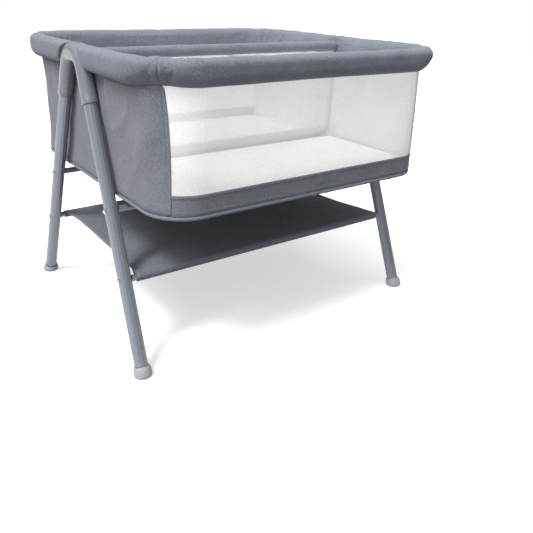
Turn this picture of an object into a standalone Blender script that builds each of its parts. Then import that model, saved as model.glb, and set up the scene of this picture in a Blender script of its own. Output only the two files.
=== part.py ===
"""A twin bedside bassinet: a padded rail and soft basket hung between two A-shaped stands.

Metres, +Z up. The origin is on the floor under the middle of the basket, +X runs along the long
front side between the stands, and +Y points to the back. The basket holds two mattresses and a
lift-out divider, and a fabric shelf is slung between the lower cross tubes of the stands.
"""

import math

import bmesh
import bpy
from mathutils import Matrix, Vector

# Driving dimensions of the padded rail (outer half sizes, top height and section).
RAIL_HALF_X = 0.470
RAIL_HALF_Y = 0.4223
RAIL_TOP = 0.747
RAIL_WIDTH = 0.043
RAIL_HEIGHT = 0.062
RAIL_EDGE_RADIUS = 0.018
RAIL_UNDER_RADIUS = 0.024
RAIL_CORNER_RADIUS = 0.150
RAIL_TUBE_RADIUS = 0.0095

# The basket: plan of the wall at its foot, how far it flares under the rail, and its heights.
WALL_HALF_X = 0.4206
WALL_HALF_Y = 0.3977
WALL_CORNER_RADIUS = 0.100
WALL_FLARE_X = 0.0245
WALL_FLARE_Y = 0.0020
WALL_FLARE_RADIUS = 0.045
WALL_BOTTOM = 0.4028
WALL_TOP = 0.6845
WALL_PINCH_X = 0.4292
WALL_PINCH_Y = 0.116
WALL_FREE_Y = 0.160
WALL_THICKNESS = 0.0015
LINING_THICKNESS = 0.0010
BAND_TOP = 0.4520
PIPING_RADIUS = 0.0050
PIPING_Z = 0.3975
PIPING_PROUD = 0.0015
BASE_BOTTOM = 0.3930
BASE_THICKNESS = 0.0025
BOARD_THICKNESS = 0.0040

# The mattresses, with the space for the divider between them.
MATTRESS_HALF_X = 0.4092
MATTRESS_HALF_Y = 0.3780
MATTRESS_INNER_Y = 0.0220
MATTRESS_TOP = 0.4285
MATTRESS_CORNER_RADIUS = 0.100
MATTRESS_EDGE = 0.011

# The stands: each leg runs from its foot on the floor up into the arch.
FOOT_X = 0.4386
FOOT_Y = 0.3288
LEAN_X = 0.0182
LEAN_Y = 0.4014
LEG_RADIUS = 0.0163
LEG_WALL = 0.0015
LEG_TOP = 0.660
LEG_FOOT_START = 0.010
ARCH_RADIUS = 0.0193
ARCH_CROWN = 0.728
COLLAR_Z = 0.6075
SOCKET_RADIUS = 0.0178
SOCKET_TOP = 0.664
LOWER_TUBE_Z = 0.2113
UPPER_TUBE_Z = 0.3670
CROSS_TUBE_RADIUS = 0.0080
CROSS_TUBE_BORE = 0.0066
CROSS_TUBE_NUT = 0.012
BOLT_RADIUS = 0.0030
BOLT_HEAD_RADIUS = 0.0070
BOLT_HEAD_HEIGHT = 0.0040
RIVET_HEIGHT = 0.014
RIVET_RADIUS = 0.0015
RIVET_HEAD_RADIUS = 0.0032
CUP_RADIUS = 0.0222
CUP_TOP = 0.0225

# The bracket in the middle of each end rail, which joins the rail tubes to the arch.
BRACKET_SLEEVE_RADIUS = 0.0135
BRACKET_START_Y = 0.0785
BRACKET_END_Y = 0.1130
BRACKET_PLATE_X = (0.4287, 0.4313)
BRACKET_PLATE_HALF_Z = 0.014
NOTCH_X = 0.4315
NOTCH_HALF_Y = 0.0765
PAD_START_Y = 0.1200
SCREW_HEAD_RADIUS = 0.0055
SCREW_HEAD_HEIGHT = 0.0012
SCREW_LENGTH = 0.0200
SCREW_Z = 0.722

# The fabric shelf and the divider.
SHELF_HALF_X = 0.4080
SHELF_THICKNESS = 0.0020
DIVIDER_BAR_RADIUS = 0.0175
DIVIDER_TUBE_RADIUS = 0.0080
DIVIDER_HALF_X = 0.4250
DIVIDER_PANEL = 0.0012
DIVIDER_FOOT = 0.4310
STRIP_WIDTH = 0.025
STRIP_BOTTOM = 0.440
STRIP_TOP = 0.660
STRIP_THICKNESS = 0.0008
STRIP_CLEAR = 0.0012

GAP = 0.0003

RAIL_LINE_X = RAIL_HALF_X - RAIL_WIDTH / 2
RAIL_LINE_Y = RAIL_HALF_Y - RAIL_WIDTH / 2
RAIL_LINE_Z = RAIL_TOP - RAIL_HEIGHT / 2
RAIL_LINE_RADIUS = RAIL_CORNER_RADIUS - RAIL_WIDTH / 2
SIDES = {"left": -1, "right": 1}
ENDS = {"front": -1, "rear": 1}

MATERIALS = {
    "rail_fabric": ((0.105, 0.108, 0.125), 0.92, 0.0),
    "panel_fabric": ((0.110, 0.114, 0.132), 0.92, 0.0),
    "mesh_fabric": ((0.78, 0.78, 0.80), 0.85, 0.0),
    "lining_fabric": ((0.62, 0.62, 0.61), 0.75, 0.0),
    "piping_fabric": ((0.20, 0.21, 0.235), 0.85, 0.0),
    "base_fabric": ((0.100, 0.104, 0.120), 0.92, 0.0),
    "shelf_fabric": ((0.045, 0.048, 0.058), 0.90, 0.0),
    "mattress_fabric": ((0.80, 0.79, 0.75), 0.85, 0.0),
    "strip_fabric": ((0.60, 0.60, 0.60), 0.95, 0.0),
    "painted_steel": ((0.17, 0.185, 0.205), 0.38, 0.0),
    "bare_steel": ((0.55, 0.56, 0.58), 0.35, 1.0),
    "arch_plastic": ((0.26, 0.275, 0.295), 0.40, 0.0),
    "foot_plastic": ((0.42, 0.43, 0.445), 0.45, 0.0),
    "bracket_plastic": ((0.10, 0.10, 0.11), 0.55, 0.0),
    "board": ((0.30, 0.24, 0.18), 0.80, 0.0),
}


def clear_scene():
    for obj in list(bpy.data.objects):
        bpy.data.objects.remove(obj)


def make_collection(name):
    collection = bpy.data.collections.new(name)
    bpy.context.scene.collection.children.link(collection)
    return collection


def make_material(name):
    colour, roughness, metallic = MATERIALS[name]
    material = bpy.data.materials.new(name)
    material.use_nodes = True
    shader = material.node_tree.nodes["Principled BSDF"]
    shader.inputs["Base Color"].default_value = (*colour, 1.0)
    shader.inputs["Roughness"].default_value = roughness
    shader.inputs["Metallic"].default_value = metallic
    return material


def add_object(name, data, material=None, matrix=None, smooth=True):
    """A node of the bassinet, or a cutter where no material is given."""
    obj = bpy.data.objects.new(name, data)
    if matrix is not None:
        obj.matrix_world = matrix
    if material is None:
        obj.hide_render = True
        obj.display_type = "WIRE"
        cutters.objects.link(obj)
        return obj
    parts.objects.link(obj)
    data.materials.append(materials[material])
    if smooth and obj.type == "MESH":
        data.shade_smooth()
        data.set_sharp_from_angle(angle=math.radians(35))
    return obj


def mesh_from(bm, name):
    mesh = bpy.data.meshes.new(name)
    bm.normal_update()
    bm.to_mesh(mesh)
    bm.free()
    return mesh


def box(low, high, name="box", side=1):
    """A box mesh between two opposite corners, mirrored to -X where side is -1."""
    bm = bmesh.new()
    bmesh.ops.create_cube(bm, size=1.0)
    x_range = sorted((side * low[0], side * high[0]))
    low = Vector((x_range[0], low[1], low[2]))
    high = Vector((x_range[1], high[1], high[2]))
    middle = (low + high) / 2
    scale = Matrix.Diagonal((*(high - low), 1.0))
    bmesh.ops.transform(bm, matrix=Matrix.Translation(middle) @ scale, verts=bm.verts)
    return mesh_from(bm, name)


def rod(start, end, radius, sides=16, name="rod"):
    """A solid cylinder mesh between two points."""
    start, end = Vector(start), Vector(end)
    bm = bmesh.new()
    bmesh.ops.create_cone(
        bm,
        cap_ends=True,
        segments=sides,
        radius1=radius,
        radius2=radius,
        depth=(end - start).length,
    )
    turn = (end - start).to_track_quat("Z", "Y").to_matrix().to_4x4()
    bmesh.ops.transform(bm, matrix=Matrix.Translation((start + end) / 2) @ turn, verts=bm.verts)
    return mesh_from(bm, name)


def boolean(obj, other, operation="DIFFERENCE"):
    modifier = obj.modifiers.new(other.name, "BOOLEAN")
    modifier.operation = operation
    modifier.solver = "EXACT"
    modifier.object = other


def turned(name, profile, material, matrix, steps=12, closed=False):
    """A profile of (radius, height) points, outer side running down, turned about local Z."""
    mesh = bpy.data.meshes.new(name)
    edges = [(i, i + 1) for i in range(len(profile) - 1)]
    if closed:
        edges.append((len(profile) - 1, 0))
    mesh.from_pydata([(r, 0.0, z) for r, z in profile], edges, [])
    obj = add_object(name, mesh, material, matrix, smooth=False)
    screw = obj.modifiers.new("turn", "SCREW")
    screw.axis = "Z"
    screw.steps = steps
    screw.render_steps = steps
    screw.use_smooth_shade = True
    screw.use_merge_vertices = True
    screw.merge_threshold = 0.00001
    return obj


def curve_of(name, points, closed=False, radius=0.0, resolution=2, profile=None):
    """A POLY curve, swept round (radius) or along a profile curve, with filled caps."""
    curve = bpy.data.curves.new(name, "CURVE")
    curve.dimensions = "3D"
    curve.twist_mode = "Z_UP"
    curve.use_fill_caps = not closed
    if profile is None:
        curve.bevel_depth = radius
        curve.bevel_resolution = resolution
    else:
        curve.bevel_mode = "OBJECT"
        curve.bevel_object = profile
    spline = curve.splines.new("POLY")
    spline.points.add(len(points) - 1)
    for point, place in zip(spline.points, points):
        point.co = (*place, 1.0)
    spline.use_cyclic_u = closed
    return curve


def swept_mesh(name, points, **shape):
    """The mesh of a swept curve, with its caps welded on, ready for a Boolean."""
    guide = bpy.data.objects.new(name + "_path", curve_of(name, points, **shape))
    cutters.objects.link(guide)
    graph = bpy.context.evaluated_depsgraph_get()
    mesh = bpy.data.meshes.new_from_object(guide.evaluated_get(graph))
    bm = bmesh.new()
    bm.from_mesh(mesh)
    bmesh.ops.remove_doubles(bm, verts=bm.verts, dist=0.00001)
    bmesh.ops.recalc_face_normals(bm, faces=bm.faces)
    bm.to_mesh(mesh)
    bm.free()
    bpy.data.objects.remove(guide)
    return mesh


def corner_point(half_x, half_y, radius, corner, angle):
    """A point of a rounded rectangle's corner arc. Corner 0 is +X +Y, counted anticlockwise."""
    sign_x = (1, -1, -1, 1)[corner]
    sign_y = (1, 1, -1, -1)[corner]
    turn = math.radians(angle)
    x = sign_x * (half_x - radius) + radius * math.cos(turn)
    y = sign_y * (half_y - radius) + radius * math.sin(turn)
    return x, y


def rounded_rectangle(half_x, half_y, radius, steps=5):
    points = []
    for corner in range(4):
        for step in range(steps + 1):
            points.append(corner_point(half_x, half_y, radius, corner, 90 * (corner + step / steps)))
    return points


def plate(name, outline, bottom, top, material):
    """A flat outline raised from one height to another."""
    bm = bmesh.new()
    face = bm.faces.new([bm.verts.new((x, y, bottom)) for x, y in outline])
    raised = bmesh.ops.extrude_face_region(bm, geom=[face])
    verts = [item for item in raised["geom"] if isinstance(item, bmesh.types.BMVert)]
    bmesh.ops.translate(bm, verts=verts, vec=(0, 0, top - bottom))
    bmesh.ops.recalc_face_normals(bm, faces=bm.faces)
    return add_object(name, mesh_from(bm, name), material)


def wall_plan(z, inset):
    """Half sizes and corner radius of the basket wall's outer face at a height."""
    rise = max(0.0, (z - WALL_BOTTOM) / (WALL_TOP - WALL_BOTTOM))
    flare = rise ** 3
    half_x = WALL_HALF_X + WALL_FLARE_X * flare - inset
    half_y = WALL_HALF_Y + WALL_FLARE_Y * flare - inset
    radius = WALL_CORNER_RADIUS + WALL_FLARE_RADIUS * flare - inset
    return half_x, half_y, radius


def wall_stations(first_corner, steps):
    """Places along a wall's plan, from the middle of one corner to the middle of the next.

    A place is (corner, angle, None) on a corner's arc. The end walls also have places
    (corner, angle, y) on their straight part, where the arch presses the wall in.
    """
    bend = 45 - math.degrees(GAP / WALL_CORNER_RADIUS)
    turn = 90 * (first_corner + 1)
    second_corner = (first_corner + 1) % 4
    stations = [(first_corner, turn - bend * (1 - i / steps), None) for i in range(steps + 1)]
    if first_corner in (1, 3):
        towards = -1 if first_corner == 1 else 1
        for y in (-WALL_FREE_Y, -WALL_PINCH_Y, 0.0, WALL_PINCH_Y, WALL_FREE_Y):
            stations.append((first_corner, turn, towards * y))
    stations += [(second_corner, turn + bend * i / steps, None) for i in range(steps + 1)]
    return stations


def wall_point(z, inset, station):
    corner, angle, along = station
    x, y = corner_point(*wall_plan(z, inset), corner, angle)
    if along is None:
        return x, y, z
    if abs(along) <= WALL_PINCH_Y:
        x = math.copysign(min(abs(x), WALL_PINCH_X - inset), x)
    return x, along, z


def wall_sheet(name, first_corner, low, high, inset, thickness, material, rows=4, steps=4):
    """A wall between the middles of two neighbouring corners, as a sheet with thickness."""
    stations = wall_stations(first_corner, steps)
    bm = bmesh.new()
    grid = []
    for row in range(rows + 1):
        z = low + (high - low) * row / rows
        grid.append([bm.verts.new(wall_point(z, inset, station)) for station in stations])
    for lower, upper in zip(grid, grid[1:]):
        for i in range(len(stations) - 1):
            bm.faces.new((lower[i], lower[i + 1], upper[i + 1], upper[i]))
    obj = add_object(name, mesh_from(bm, name), material)
    add_thickness(obj, thickness)
    return obj


def add_thickness(obj, thickness):
    solidify = obj.modifiers.new("thickness", "SOLIDIFY")
    solidify.thickness = thickness
    solidify.offset = -1.0
    solidify.use_even_offset = True


def rail_path(end, start_y, z=RAIL_LINE_Z, steps=6):
    """The U-shaped line of the front (end -1) or rear (end 1) half of the rail."""
    corners = (2, 3) if end < 0 else (0, 1)
    plan = (RAIL_LINE_X, RAIL_LINE_Y, RAIL_LINE_RADIUS)
    line = [(end * RAIL_LINE_X, end * start_y, z)]
    for corner in corners:
        for step in range(steps + 1):
            place = corner_point(*plan, corner, 90 * (corner + step / steps))
            line.append((*place, z))
    line.append((-end * RAIL_LINE_X, end * start_y, z))
    return line


def rail_profile(steps=3):
    """The padded rail's section, as a curve to sweep: its lower outer edge curves in to the wall."""
    radii = (RAIL_EDGE_RADIUS, RAIL_EDGE_RADIUS, RAIL_EDGE_RADIUS, RAIL_UNDER_RADIUS)
    outline = []
    for corner, radius in enumerate(radii):
        for step in range(steps + 1):
            angle = 90 * (corner + step / steps)
            outline.append(corner_point(RAIL_WIDTH / 2, RAIL_HEIGHT / 2, radius, corner, angle))
    curve = bpy.data.curves.new("rail_profile", "CURVE")
    curve.dimensions = "2D"
    spline = curve.splines.new("POLY")
    spline.points.add(len(outline) - 1)
    for point, (x, y) in zip(spline.points, outline):
        point.co = (x, y, 0.0, 1.0)
    spline.use_cyclic_u = True
    guide = bpy.data.objects.new("rail_profile", curve)
    guide.hide_render = True
    guide.display_type = "WIRE"
    cutters.objects.link(guide)
    return guide


def make_rail():
    profile = rail_profile()
    for end_name, end in ENDS.items():
        tube = curve_of(
            f"rail_tube_{end_name}",
            rail_path(end, BRACKET_START_Y + 0.004),
            radius=RAIL_TUBE_RADIUS,
        )
        add_object(f"rail_tube_{end_name}", tube, "bare_steel")
        bore = swept_mesh(
            "bore",
            rail_path(end, BRACKET_START_Y),
            radius=RAIL_TUBE_RADIUS + 2 * GAP,
        )
        cutter = add_object(f"rail_bore_{end_name}", bore)
        pad_mesh = swept_mesh("pad", rail_path(end, PAD_START_Y + GAP), profile=profile)
        pad = add_object(f"rail_pad_{end_name}", pad_mesh, "rail_fabric")
        boolean(pad, cutter)
    for side_name, side in SIDES.items():
        make_bracket(side_name, side)
        make_bridge(side_name, side, profile)


def bracket_solid(name, side, grow, end_y, material=None):
    """The bracket's plate with a sleeve block at each end, larger all round by grow."""
    inner, outer = BRACKET_PLATE_X
    half_z = BRACKET_PLATE_HALF_Z + grow
    low = (inner - grow, -end_y, RAIL_LINE_Z - half_z)
    high = (outer + grow, end_y, RAIL_LINE_Z + half_z)
    bracket = add_object(name, box(low, high, side=side), material)
    for end_name, end in ENDS.items():
        radius = BRACKET_SLEEVE_RADIUS + grow
        ends = sorted((end * (BRACKET_START_Y - grow), end * end_y))
        web_low = ((inner + outer) / 2, ends[0], RAIL_LINE_Z - radius * 0.85)
        web_high = (RAIL_LINE_X, ends[1], RAIL_LINE_Z + radius * 0.85)
        web = box(web_low, web_high, side=side)
        boolean(bracket, add_object(f"{name}_web_{end_name}", web), "UNION")
        x = side * RAIL_LINE_X
        sleeve = rod((x, ends[0], RAIL_LINE_Z), (x, ends[1], RAIL_LINE_Z), radius)
        boolean(bracket, add_object(f"{name}_sleeve_{end_name}", sleeve), "UNION")
    return bracket


def make_bracket(side_name, side):
    name = f"rail_bracket_{side_name}"
    bracket = bracket_solid(name, side, 0.0, BRACKET_END_Y, "bracket_plastic")
    x = side * RAIL_LINE_X
    reach = BRACKET_END_Y + 0.01
    for end_name, end in ENDS.items():
        start = (x, end * (BRACKET_START_Y + 0.003), RAIL_LINE_Z)
        stop = (x, end * reach, RAIL_LINE_Z)
        bore = rod(start, stop, RAIL_TUBE_RADIUS + GAP)
        boolean(bracket, add_object(f"{name}_bore_{end_name}", bore))
    inner = BRACKET_PLATE_X[0]
    z = SCREW_Z
    hole = rod((side * 0.40, 0, z), (side * 0.46, 0, z), BOLT_RADIUS + GAP)
    boolean(bracket, add_object(f"{name}_screw_hole", hole))
    recess_end = inner + SCREW_HEAD_HEIGHT + GAP
    recess = rod((side * 0.40, 0, z), (side * recess_end, 0, z), SCREW_HEAD_RADIUS + GAP)
    boolean(bracket, add_object(f"{name}_screw_recess", recess))
    head = inner + GAP / 2
    profile = (
        (0.0, 0.0),
        (SCREW_HEAD_RADIUS, 0.0),
        (SCREW_HEAD_RADIUS, -SCREW_HEAD_HEIGHT),
        (BOLT_RADIUS, -SCREW_HEAD_HEIGHT),
        (BOLT_RADIUS, -SCREW_LENGTH),
        (0.0, -SCREW_LENGTH - BOLT_RADIUS),
    )
    turn = Vector((-side, 0, 0)).to_track_quat("Z", "Y").to_matrix().to_4x4()
    place = Matrix.Translation((side * head, 0, z)) @ turn
    turned(f"bracket_screw_{side_name}", profile, "bare_steel", place, steps=10)


def make_bridge(side_name, side, profile):
    """The cover over the bracket, notched on its outer side for the arch."""
    name = f"rail_cover_{side_name}"
    x = side * RAIL_LINE_X
    reach = side * (PAD_START_Y - GAP)
    path = [(x, -reach, RAIL_LINE_Z), (x, reach, RAIL_LINE_Z)]
    bridge = add_object(name, swept_mesh(name, path, profile=profile), "rail_fabric")
    notch = box(
        (NOTCH_X, -NOTCH_HALF_Y, RAIL_LINE_Z - RAIL_HEIGHT),
        (RAIL_HALF_X + 0.02, NOTCH_HALF_Y, RAIL_TOP + 0.02),
        side=side,
    )
    boolean(bridge, add_object(f"{name}_notch", notch))
    boolean(bridge, bracket_solid(f"{name}_hollow", side, 2 * GAP, PAD_START_Y + 0.01))


def side_x(z):
    """Distance of a leg's axis from the middle plane at a height."""
    return FOOT_X + LEAN_X * z


def leg_point(side, end, z):
    return Vector((side * side_x(z), end * (FOOT_Y - LEAN_Y * z), z))


def arch_line(side, steps=8):
    """The arch's axis: both legs' lines, joined by an arc tangent to them under the crown."""
    slant = math.atan(LEAN_Y)
    reach = math.cos(slant)
    radius = (FOOT_Y - LEAN_Y * ARCH_CROWN) * reach / (1 - LEAN_Y * reach)
    centre_z = ARCH_CROWN - radius
    points = [leg_point(side, -1, COLLAR_Z)]
    for step in range(steps + 1):
        angle = math.pi - slant - (math.pi - 2 * slant) * step / steps
        z = centre_z + radius * math.sin(angle)
        points.append(Vector((side * side_x(z), radius * math.cos(angle), z)))
    points.append(leg_point(side, 1, COLLAR_Z))
    return points


def make_arch(side_name, side):
    name = f"arch_{side_name}"
    mesh = swept_mesh(name, arch_line(side), radius=ARCH_RADIUS, resolution=5)
    arch = add_object(name, mesh, "arch_plastic")
    for end_name, end in ENDS.items():
        below = leg_point(side, end, COLLAR_Z - 0.02)
        top = leg_point(side, end, SOCKET_TOP)
        socket = add_object(f"{name}_socket_{end_name}", rod(below, top, SOCKET_RADIUS))
        boolean(arch, socket)
    z = SCREW_Z
    hole = rod((side * 0.42, 0, z), (side * 0.455, 0, z), BOLT_RADIUS + GAP, sides=12)
    boolean(arch, add_object(f"{name}_screw_hole", hole))


def leg_turn(side, end):
    axis = leg_point(side, end, 1.0) - leg_point(side, end, 0.0)
    return axis.to_track_quat("Z", "X").to_matrix().to_4x4()


def make_leg(side_name, side, end_name, end):
    name = f"leg_{end_name}_{side_name}"
    foot = leg_point(side, end, 0.0)
    place = Matrix.Translation(foot) @ leg_turn(side, end)
    upright = (leg_point(side, end, 1.0) - foot).normalized()
    start = foot + upright * LEG_FOOT_START
    stop = leg_point(side, end, LEG_TOP)
    leg = add_object(name, rod(start, stop, LEG_RADIUS), "painted_steel")
    hollow = rod(start - upright * 0.01, stop + upright * 0.01, LEG_RADIUS - LEG_WALL)
    boolean(leg, add_object(f"{name}_hollow", hollow))
    for z in (LOWER_TUBE_Z, UPPER_TUBE_Z):
        middle = leg_point(side, end, z)
        reach = Vector((0.03, 0, 0))
        hole = rod(middle - reach, middle + reach, BOLT_RADIUS + GAP, sides=12)
        boolean(leg, add_object(f"{name}_bolt_hole_{round(z * 1000)}", hole))

    cup_profile = (
        (0.0, LEG_FOOT_START - GAP),
        (LEG_RADIUS + 2 * GAP, LEG_FOOT_START - GAP),
        (LEG_RADIUS + 2 * GAP, CUP_TOP),
        (LEG_RADIUS + 0.0026, CUP_TOP),
        (CUP_RADIUS - 0.0017, CUP_TOP - 0.0060),
        (CUP_RADIUS - 0.0002, CUP_TOP - 0.0135),
        (CUP_RADIUS, CUP_TOP - 0.0195),
        (CUP_RADIUS - 0.0014, CUP_TOP - 0.0250),
        (CUP_RADIUS - 0.0057, CUP_TOP - 0.0287),
        (0.0, CUP_TOP - 0.0287),
    )
    cup = turned(f"foot_{end_name}_{side_name}", cup_profile, "foot_plastic", place, steps=16)
    boolean(cup, floor_cutter)
    middle = leg_point(side, end, RIVET_HEIGHT)
    outside = Vector((side * 0.04, 0, 0))
    rivet_hole = rod(middle, middle + outside, RIVET_RADIUS + GAP, sides=10)
    hole = add_object(f"{name}_rivet_hole", rivet_hole)
    boolean(leg, hole)
    boolean(cup, hole)
    make_rivet(f"foot_rivet_{end_name}_{side_name}", middle, side)


def make_rivet(name, middle, side):
    head = CUP_RADIUS + 0.0003
    profile = (
        (0.0, 0.0016),
        (RIVET_HEAD_RADIUS * 0.7, 0.0012),
        (RIVET_HEAD_RADIUS, 0.0),
        (RIVET_RADIUS, 0.0),
        (RIVET_RADIUS, -0.0080),
        (0.0, -0.0080),
    )
    turn = Vector((side, 0, 0)).to_track_quat("Z", "Y").to_matrix().to_4x4()
    place = Matrix.Translation(middle + Vector((side * head, 0, 0))) @ turn
    turned(name, profile, "bare_steel", place, steps=10)


def make_cross_tube(name, end, z):
    """A tube between the two legs of a stand, with a nut fixed in each end."""
    middle = leg_point(1, end, z)
    half = middle.x - LEG_RADIUS - GAP
    bore = CROSS_TUBE_BORE
    nut = BOLT_RADIUS + GAP
    profile = (
        (CROSS_TUBE_RADIUS, half),
        (CROSS_TUBE_RADIUS, -half),
        (nut, -half),
        (nut, -half + CROSS_TUBE_NUT),
        (bore, -half + CROSS_TUBE_NUT),
        (bore, half - CROSS_TUBE_NUT),
        (nut, half - CROSS_TUBE_NUT),
        (nut, half),
    )
    turn = Matrix.Rotation(math.radians(90), 4, "Y")
    place = Matrix.Translation((0, middle.y, z)) @ turn
    turned(name, profile, "painted_steel", place, closed=True)


def make_bolt(name, side, end, z):
    """A dome-headed bolt through a leg into the nut of a cross tube."""
    middle = leg_point(side, end, z)
    shank = 2 * LEG_RADIUS + GAP + CROSS_TUBE_NUT
    profile = (
        (0.0, BOLT_HEAD_HEIGHT),
        (BOLT_HEAD_RADIUS * 0.62, BOLT_HEAD_HEIGHT * 0.80),
        (BOLT_HEAD_RADIUS * 0.93, BOLT_HEAD_HEIGHT * 0.38),
        (BOLT_HEAD_RADIUS, 0.0),
        (BOLT_RADIUS, 0.0),
        (BOLT_RADIUS, -shank),
        (0.0, -shank),
    )
    turn = Vector((side, 0, 0)).to_track_quat("Z", "Y").to_matrix().to_4x4()
    seat = Vector((side * (LEG_RADIUS + GAP), 0, 0))
    place = Matrix.Translation(middle + seat) @ turn
    turned(name, profile, "bare_steel", place, steps=10)


def make_stands():
    for side_name, side in SIDES.items():
        make_arch(side_name, side)
        for end_name, end in ENDS.items():
            make_leg(side_name, side, end_name, end)
            make_bolt(f"bolt_lower_{end_name}_{side_name}", side, end, LOWER_TUBE_Z)
            make_bolt(f"bolt_upper_{end_name}_{side_name}", side, end, UPPER_TUBE_Z)
    for end_name, end in ENDS.items():
        make_cross_tube(f"lower_tube_{end_name}", end, LOWER_TUBE_Z)
        make_cross_tube(f"upper_tube_{end_name}", end, UPPER_TUBE_Z)


def make_shelf():
    tube_y = leg_point(1, 1, LOWER_TUBE_Z).y
    half_y = tube_y - CROSS_TUBE_RADIUS - GAP
    half_z = SHELF_THICKNESS / 2
    low = (-SHELF_HALF_X, -half_y, LOWER_TUBE_Z - half_z)
    high = (SHELF_HALF_X, half_y, LOWER_TUBE_Z + half_z)
    add_object("shelf_sling", box(low, high), "shelf_fabric", smooth=False)


def make_basket():
    lining_inset = WALL_THICKNESS + GAP
    walls = {"left": 1, "right": 3}
    for side_name, corner in walls.items():
        wall_sheet(
            f"end_panel_{side_name}", corner, WALL_BOTTOM, WALL_TOP, 0.0, WALL_THICKNESS, "panel_fabric"
        )
        wall_sheet(
            f"inner_lining_{side_name}",
            corner,
            WALL_BOTTOM,
            WALL_TOP,
            lining_inset,
            LINING_THICKNESS,
            "lining_fabric",
        )
        make_strip(f"divider_strip_{side_name}", SIDES[side_name])
    windows = {"front": 2, "rear": 0}
    for end_name, corner in windows.items():
        wall_sheet(
            f"bottom_band_{end_name}",
            corner,
            WALL_BOTTOM,
            BAND_TOP - GAP,
            0.0,
            WALL_THICKNESS,
            "panel_fabric",
            rows=2,
        )
        wall_sheet(
            f"mesh_window_{end_name}", corner, BAND_TOP, WALL_TOP, 0.0, WALL_THICKNESS, "mesh_fabric"
        )
    piping = PIPING_RADIUS - PIPING_PROUD
    loop = [(x, y, PIPING_Z) for x, y in foot_outline(piping)]
    curve = curve_of("base_piping", loop, closed=True, radius=PIPING_RADIUS)
    add_object("base_piping", curve, "piping_fabric")
    make_base(piping + PIPING_RADIUS + 2 * GAP)


def foot_outline(inset):
    return rounded_rectangle(WALL_HALF_X - inset, WALL_HALF_Y - inset, WALL_CORNER_RADIUS - inset)


def make_strip(name, side):
    """The hook-and-loop strip down the middle of an end wall's lining."""
    rows = 6
    inset = WALL_THICKNESS + LINING_THICKNESS + STRIP_CLEAR
    bm = bmesh.new()
    grid = []
    for row in range(rows + 1):
        z = STRIP_BOTTOM + (STRIP_TOP - STRIP_BOTTOM) * row / rows
        x = side * min(wall_plan(z, inset)[0], WALL_PINCH_X - inset)
        grid.append([bm.verts.new((x, side * y * STRIP_WIDTH, z)) for y in (-0.5, 0.5)])
    for lower, upper in zip(grid, grid[1:]):
        bm.faces.new((lower[0], lower[1], upper[1], upper[0]))
    strip = add_object(name, mesh_from(bm, name), "strip_fabric")
    add_thickness(strip, STRIP_THICKNESS)


def make_base(inset):
    top = BASE_BOTTOM + BASE_THICKNESS
    plate("base_floor", foot_outline(inset), BASE_BOTTOM, top, "base_fabric")
    board_top = top + GAP + BOARD_THICKNESS
    for end_name, end in ENDS.items():
        board = half_outline(end, MATTRESS_HALF_X, MATTRESS_HALF_Y, 0.002)
        plate(f"base_board_{end_name}", board, top + GAP, board_top, "board")
        outline = half_outline(end, MATTRESS_HALF_X, MATTRESS_HALF_Y, MATTRESS_INNER_Y)
        mattress = plate(
            f"mattress_{end_name}", outline, board_top + GAP, MATTRESS_TOP, "mattress_fabric"
        )
        bevel = mattress.modifiers.new("soft_edge", "BEVEL")
        bevel.width = MATTRESS_EDGE
        bevel.segments = 2
        bevel.limit_method = "ANGLE"
        bevel.angle_limit = math.radians(60)


def half_outline(end, half_x, half_y, inner_y, inner_radius=0.015, steps=5):
    """One half of the basket's floor: wide rounded corners outside, small ones at the middle."""
    middle = end * (inner_y + half_y) / 2
    half = (half_y - inner_y) / 2
    points = []
    for corner in range(4):
        outside = (corner in (0, 1)) == (end > 0)
        radius = MATTRESS_CORNER_RADIUS if outside else inner_radius
        for step in range(steps + 1):
            x, y = corner_point(half_x, half, radius, corner, 90 * (corner + step / steps))
            points.append((x, y + middle))
    return points


def make_divider():
    cover_end = (DIVIDER_HALF_X, 0, RAIL_LINE_Z)
    tube_end = (DIVIDER_HALF_X - 0.001, 0, RAIL_LINE_Z)
    mirror = Matrix.Diagonal((-1, 1, 1))
    tube = rod(mirror @ Vector(tube_end), tube_end, DIVIDER_TUBE_RADIUS, sides=16)
    add_object("divider_bar", tube, "bare_steel")
    cover = rod(mirror @ Vector(cover_end), cover_end, DIVIDER_BAR_RADIUS)
    sleeve = add_object("divider_bar_cover", cover, "rail_fabric")
    far = Vector((0.5, 0, RAIL_LINE_Z))
    bore = rod(mirror @ far, far, DIVIDER_TUBE_RADIUS + GAP, sides=16)
    boolean(sleeve, add_object("divider_cover_bore", bore))

    top = RAIL_LINE_Z - DIVIDER_BAR_RADIUS - GAP
    heights = (BAND_TOP, 0.52, 0.58, 0.62, 0.65, top)
    divider_sheet("divider_mesh", heights, "mesh_fabric")
    divider_sheet("divider_foot_band", (DIVIDER_FOOT, BAND_TOP - GAP), "lining_fabric")


def divider_sheet(name, heights, material):
    """An upright sheet across the basket whose ends follow the strips on the end walls."""
    inset = WALL_THICKNESS + LINING_THICKNESS + STRIP_THICKNESS + 0.002
    bm = bmesh.new()
    grid = []
    for z in heights:
        half = min(wall_plan(z, inset)[0], WALL_PINCH_X - inset)
        grid.append([bm.verts.new((side * half, DIVIDER_PANEL / 2, z)) for side in (1, -1)])
    for lower, upper in zip(grid, grid[1:]):
        bm.faces.new((lower[0], lower[1], upper[1], upper[0]))
    sheet = add_object(name, mesh_from(bm, name), material, smooth=False)
    add_thickness(sheet, DIVIDER_PANEL)


clear_scene()
parts = make_collection("twin_bassinet")
cutters = make_collection("cutters")
cutters.hide_render = True
materials = {name: make_material(name) for name in MATERIALS}
floor_cutter = add_object("floor_cutter", box((-0.6, -0.5, -0.05), (0.6, 0.5, 0.0)))

make_rail()
make_stands()
make_shelf()
make_basket()
make_divider()
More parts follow.
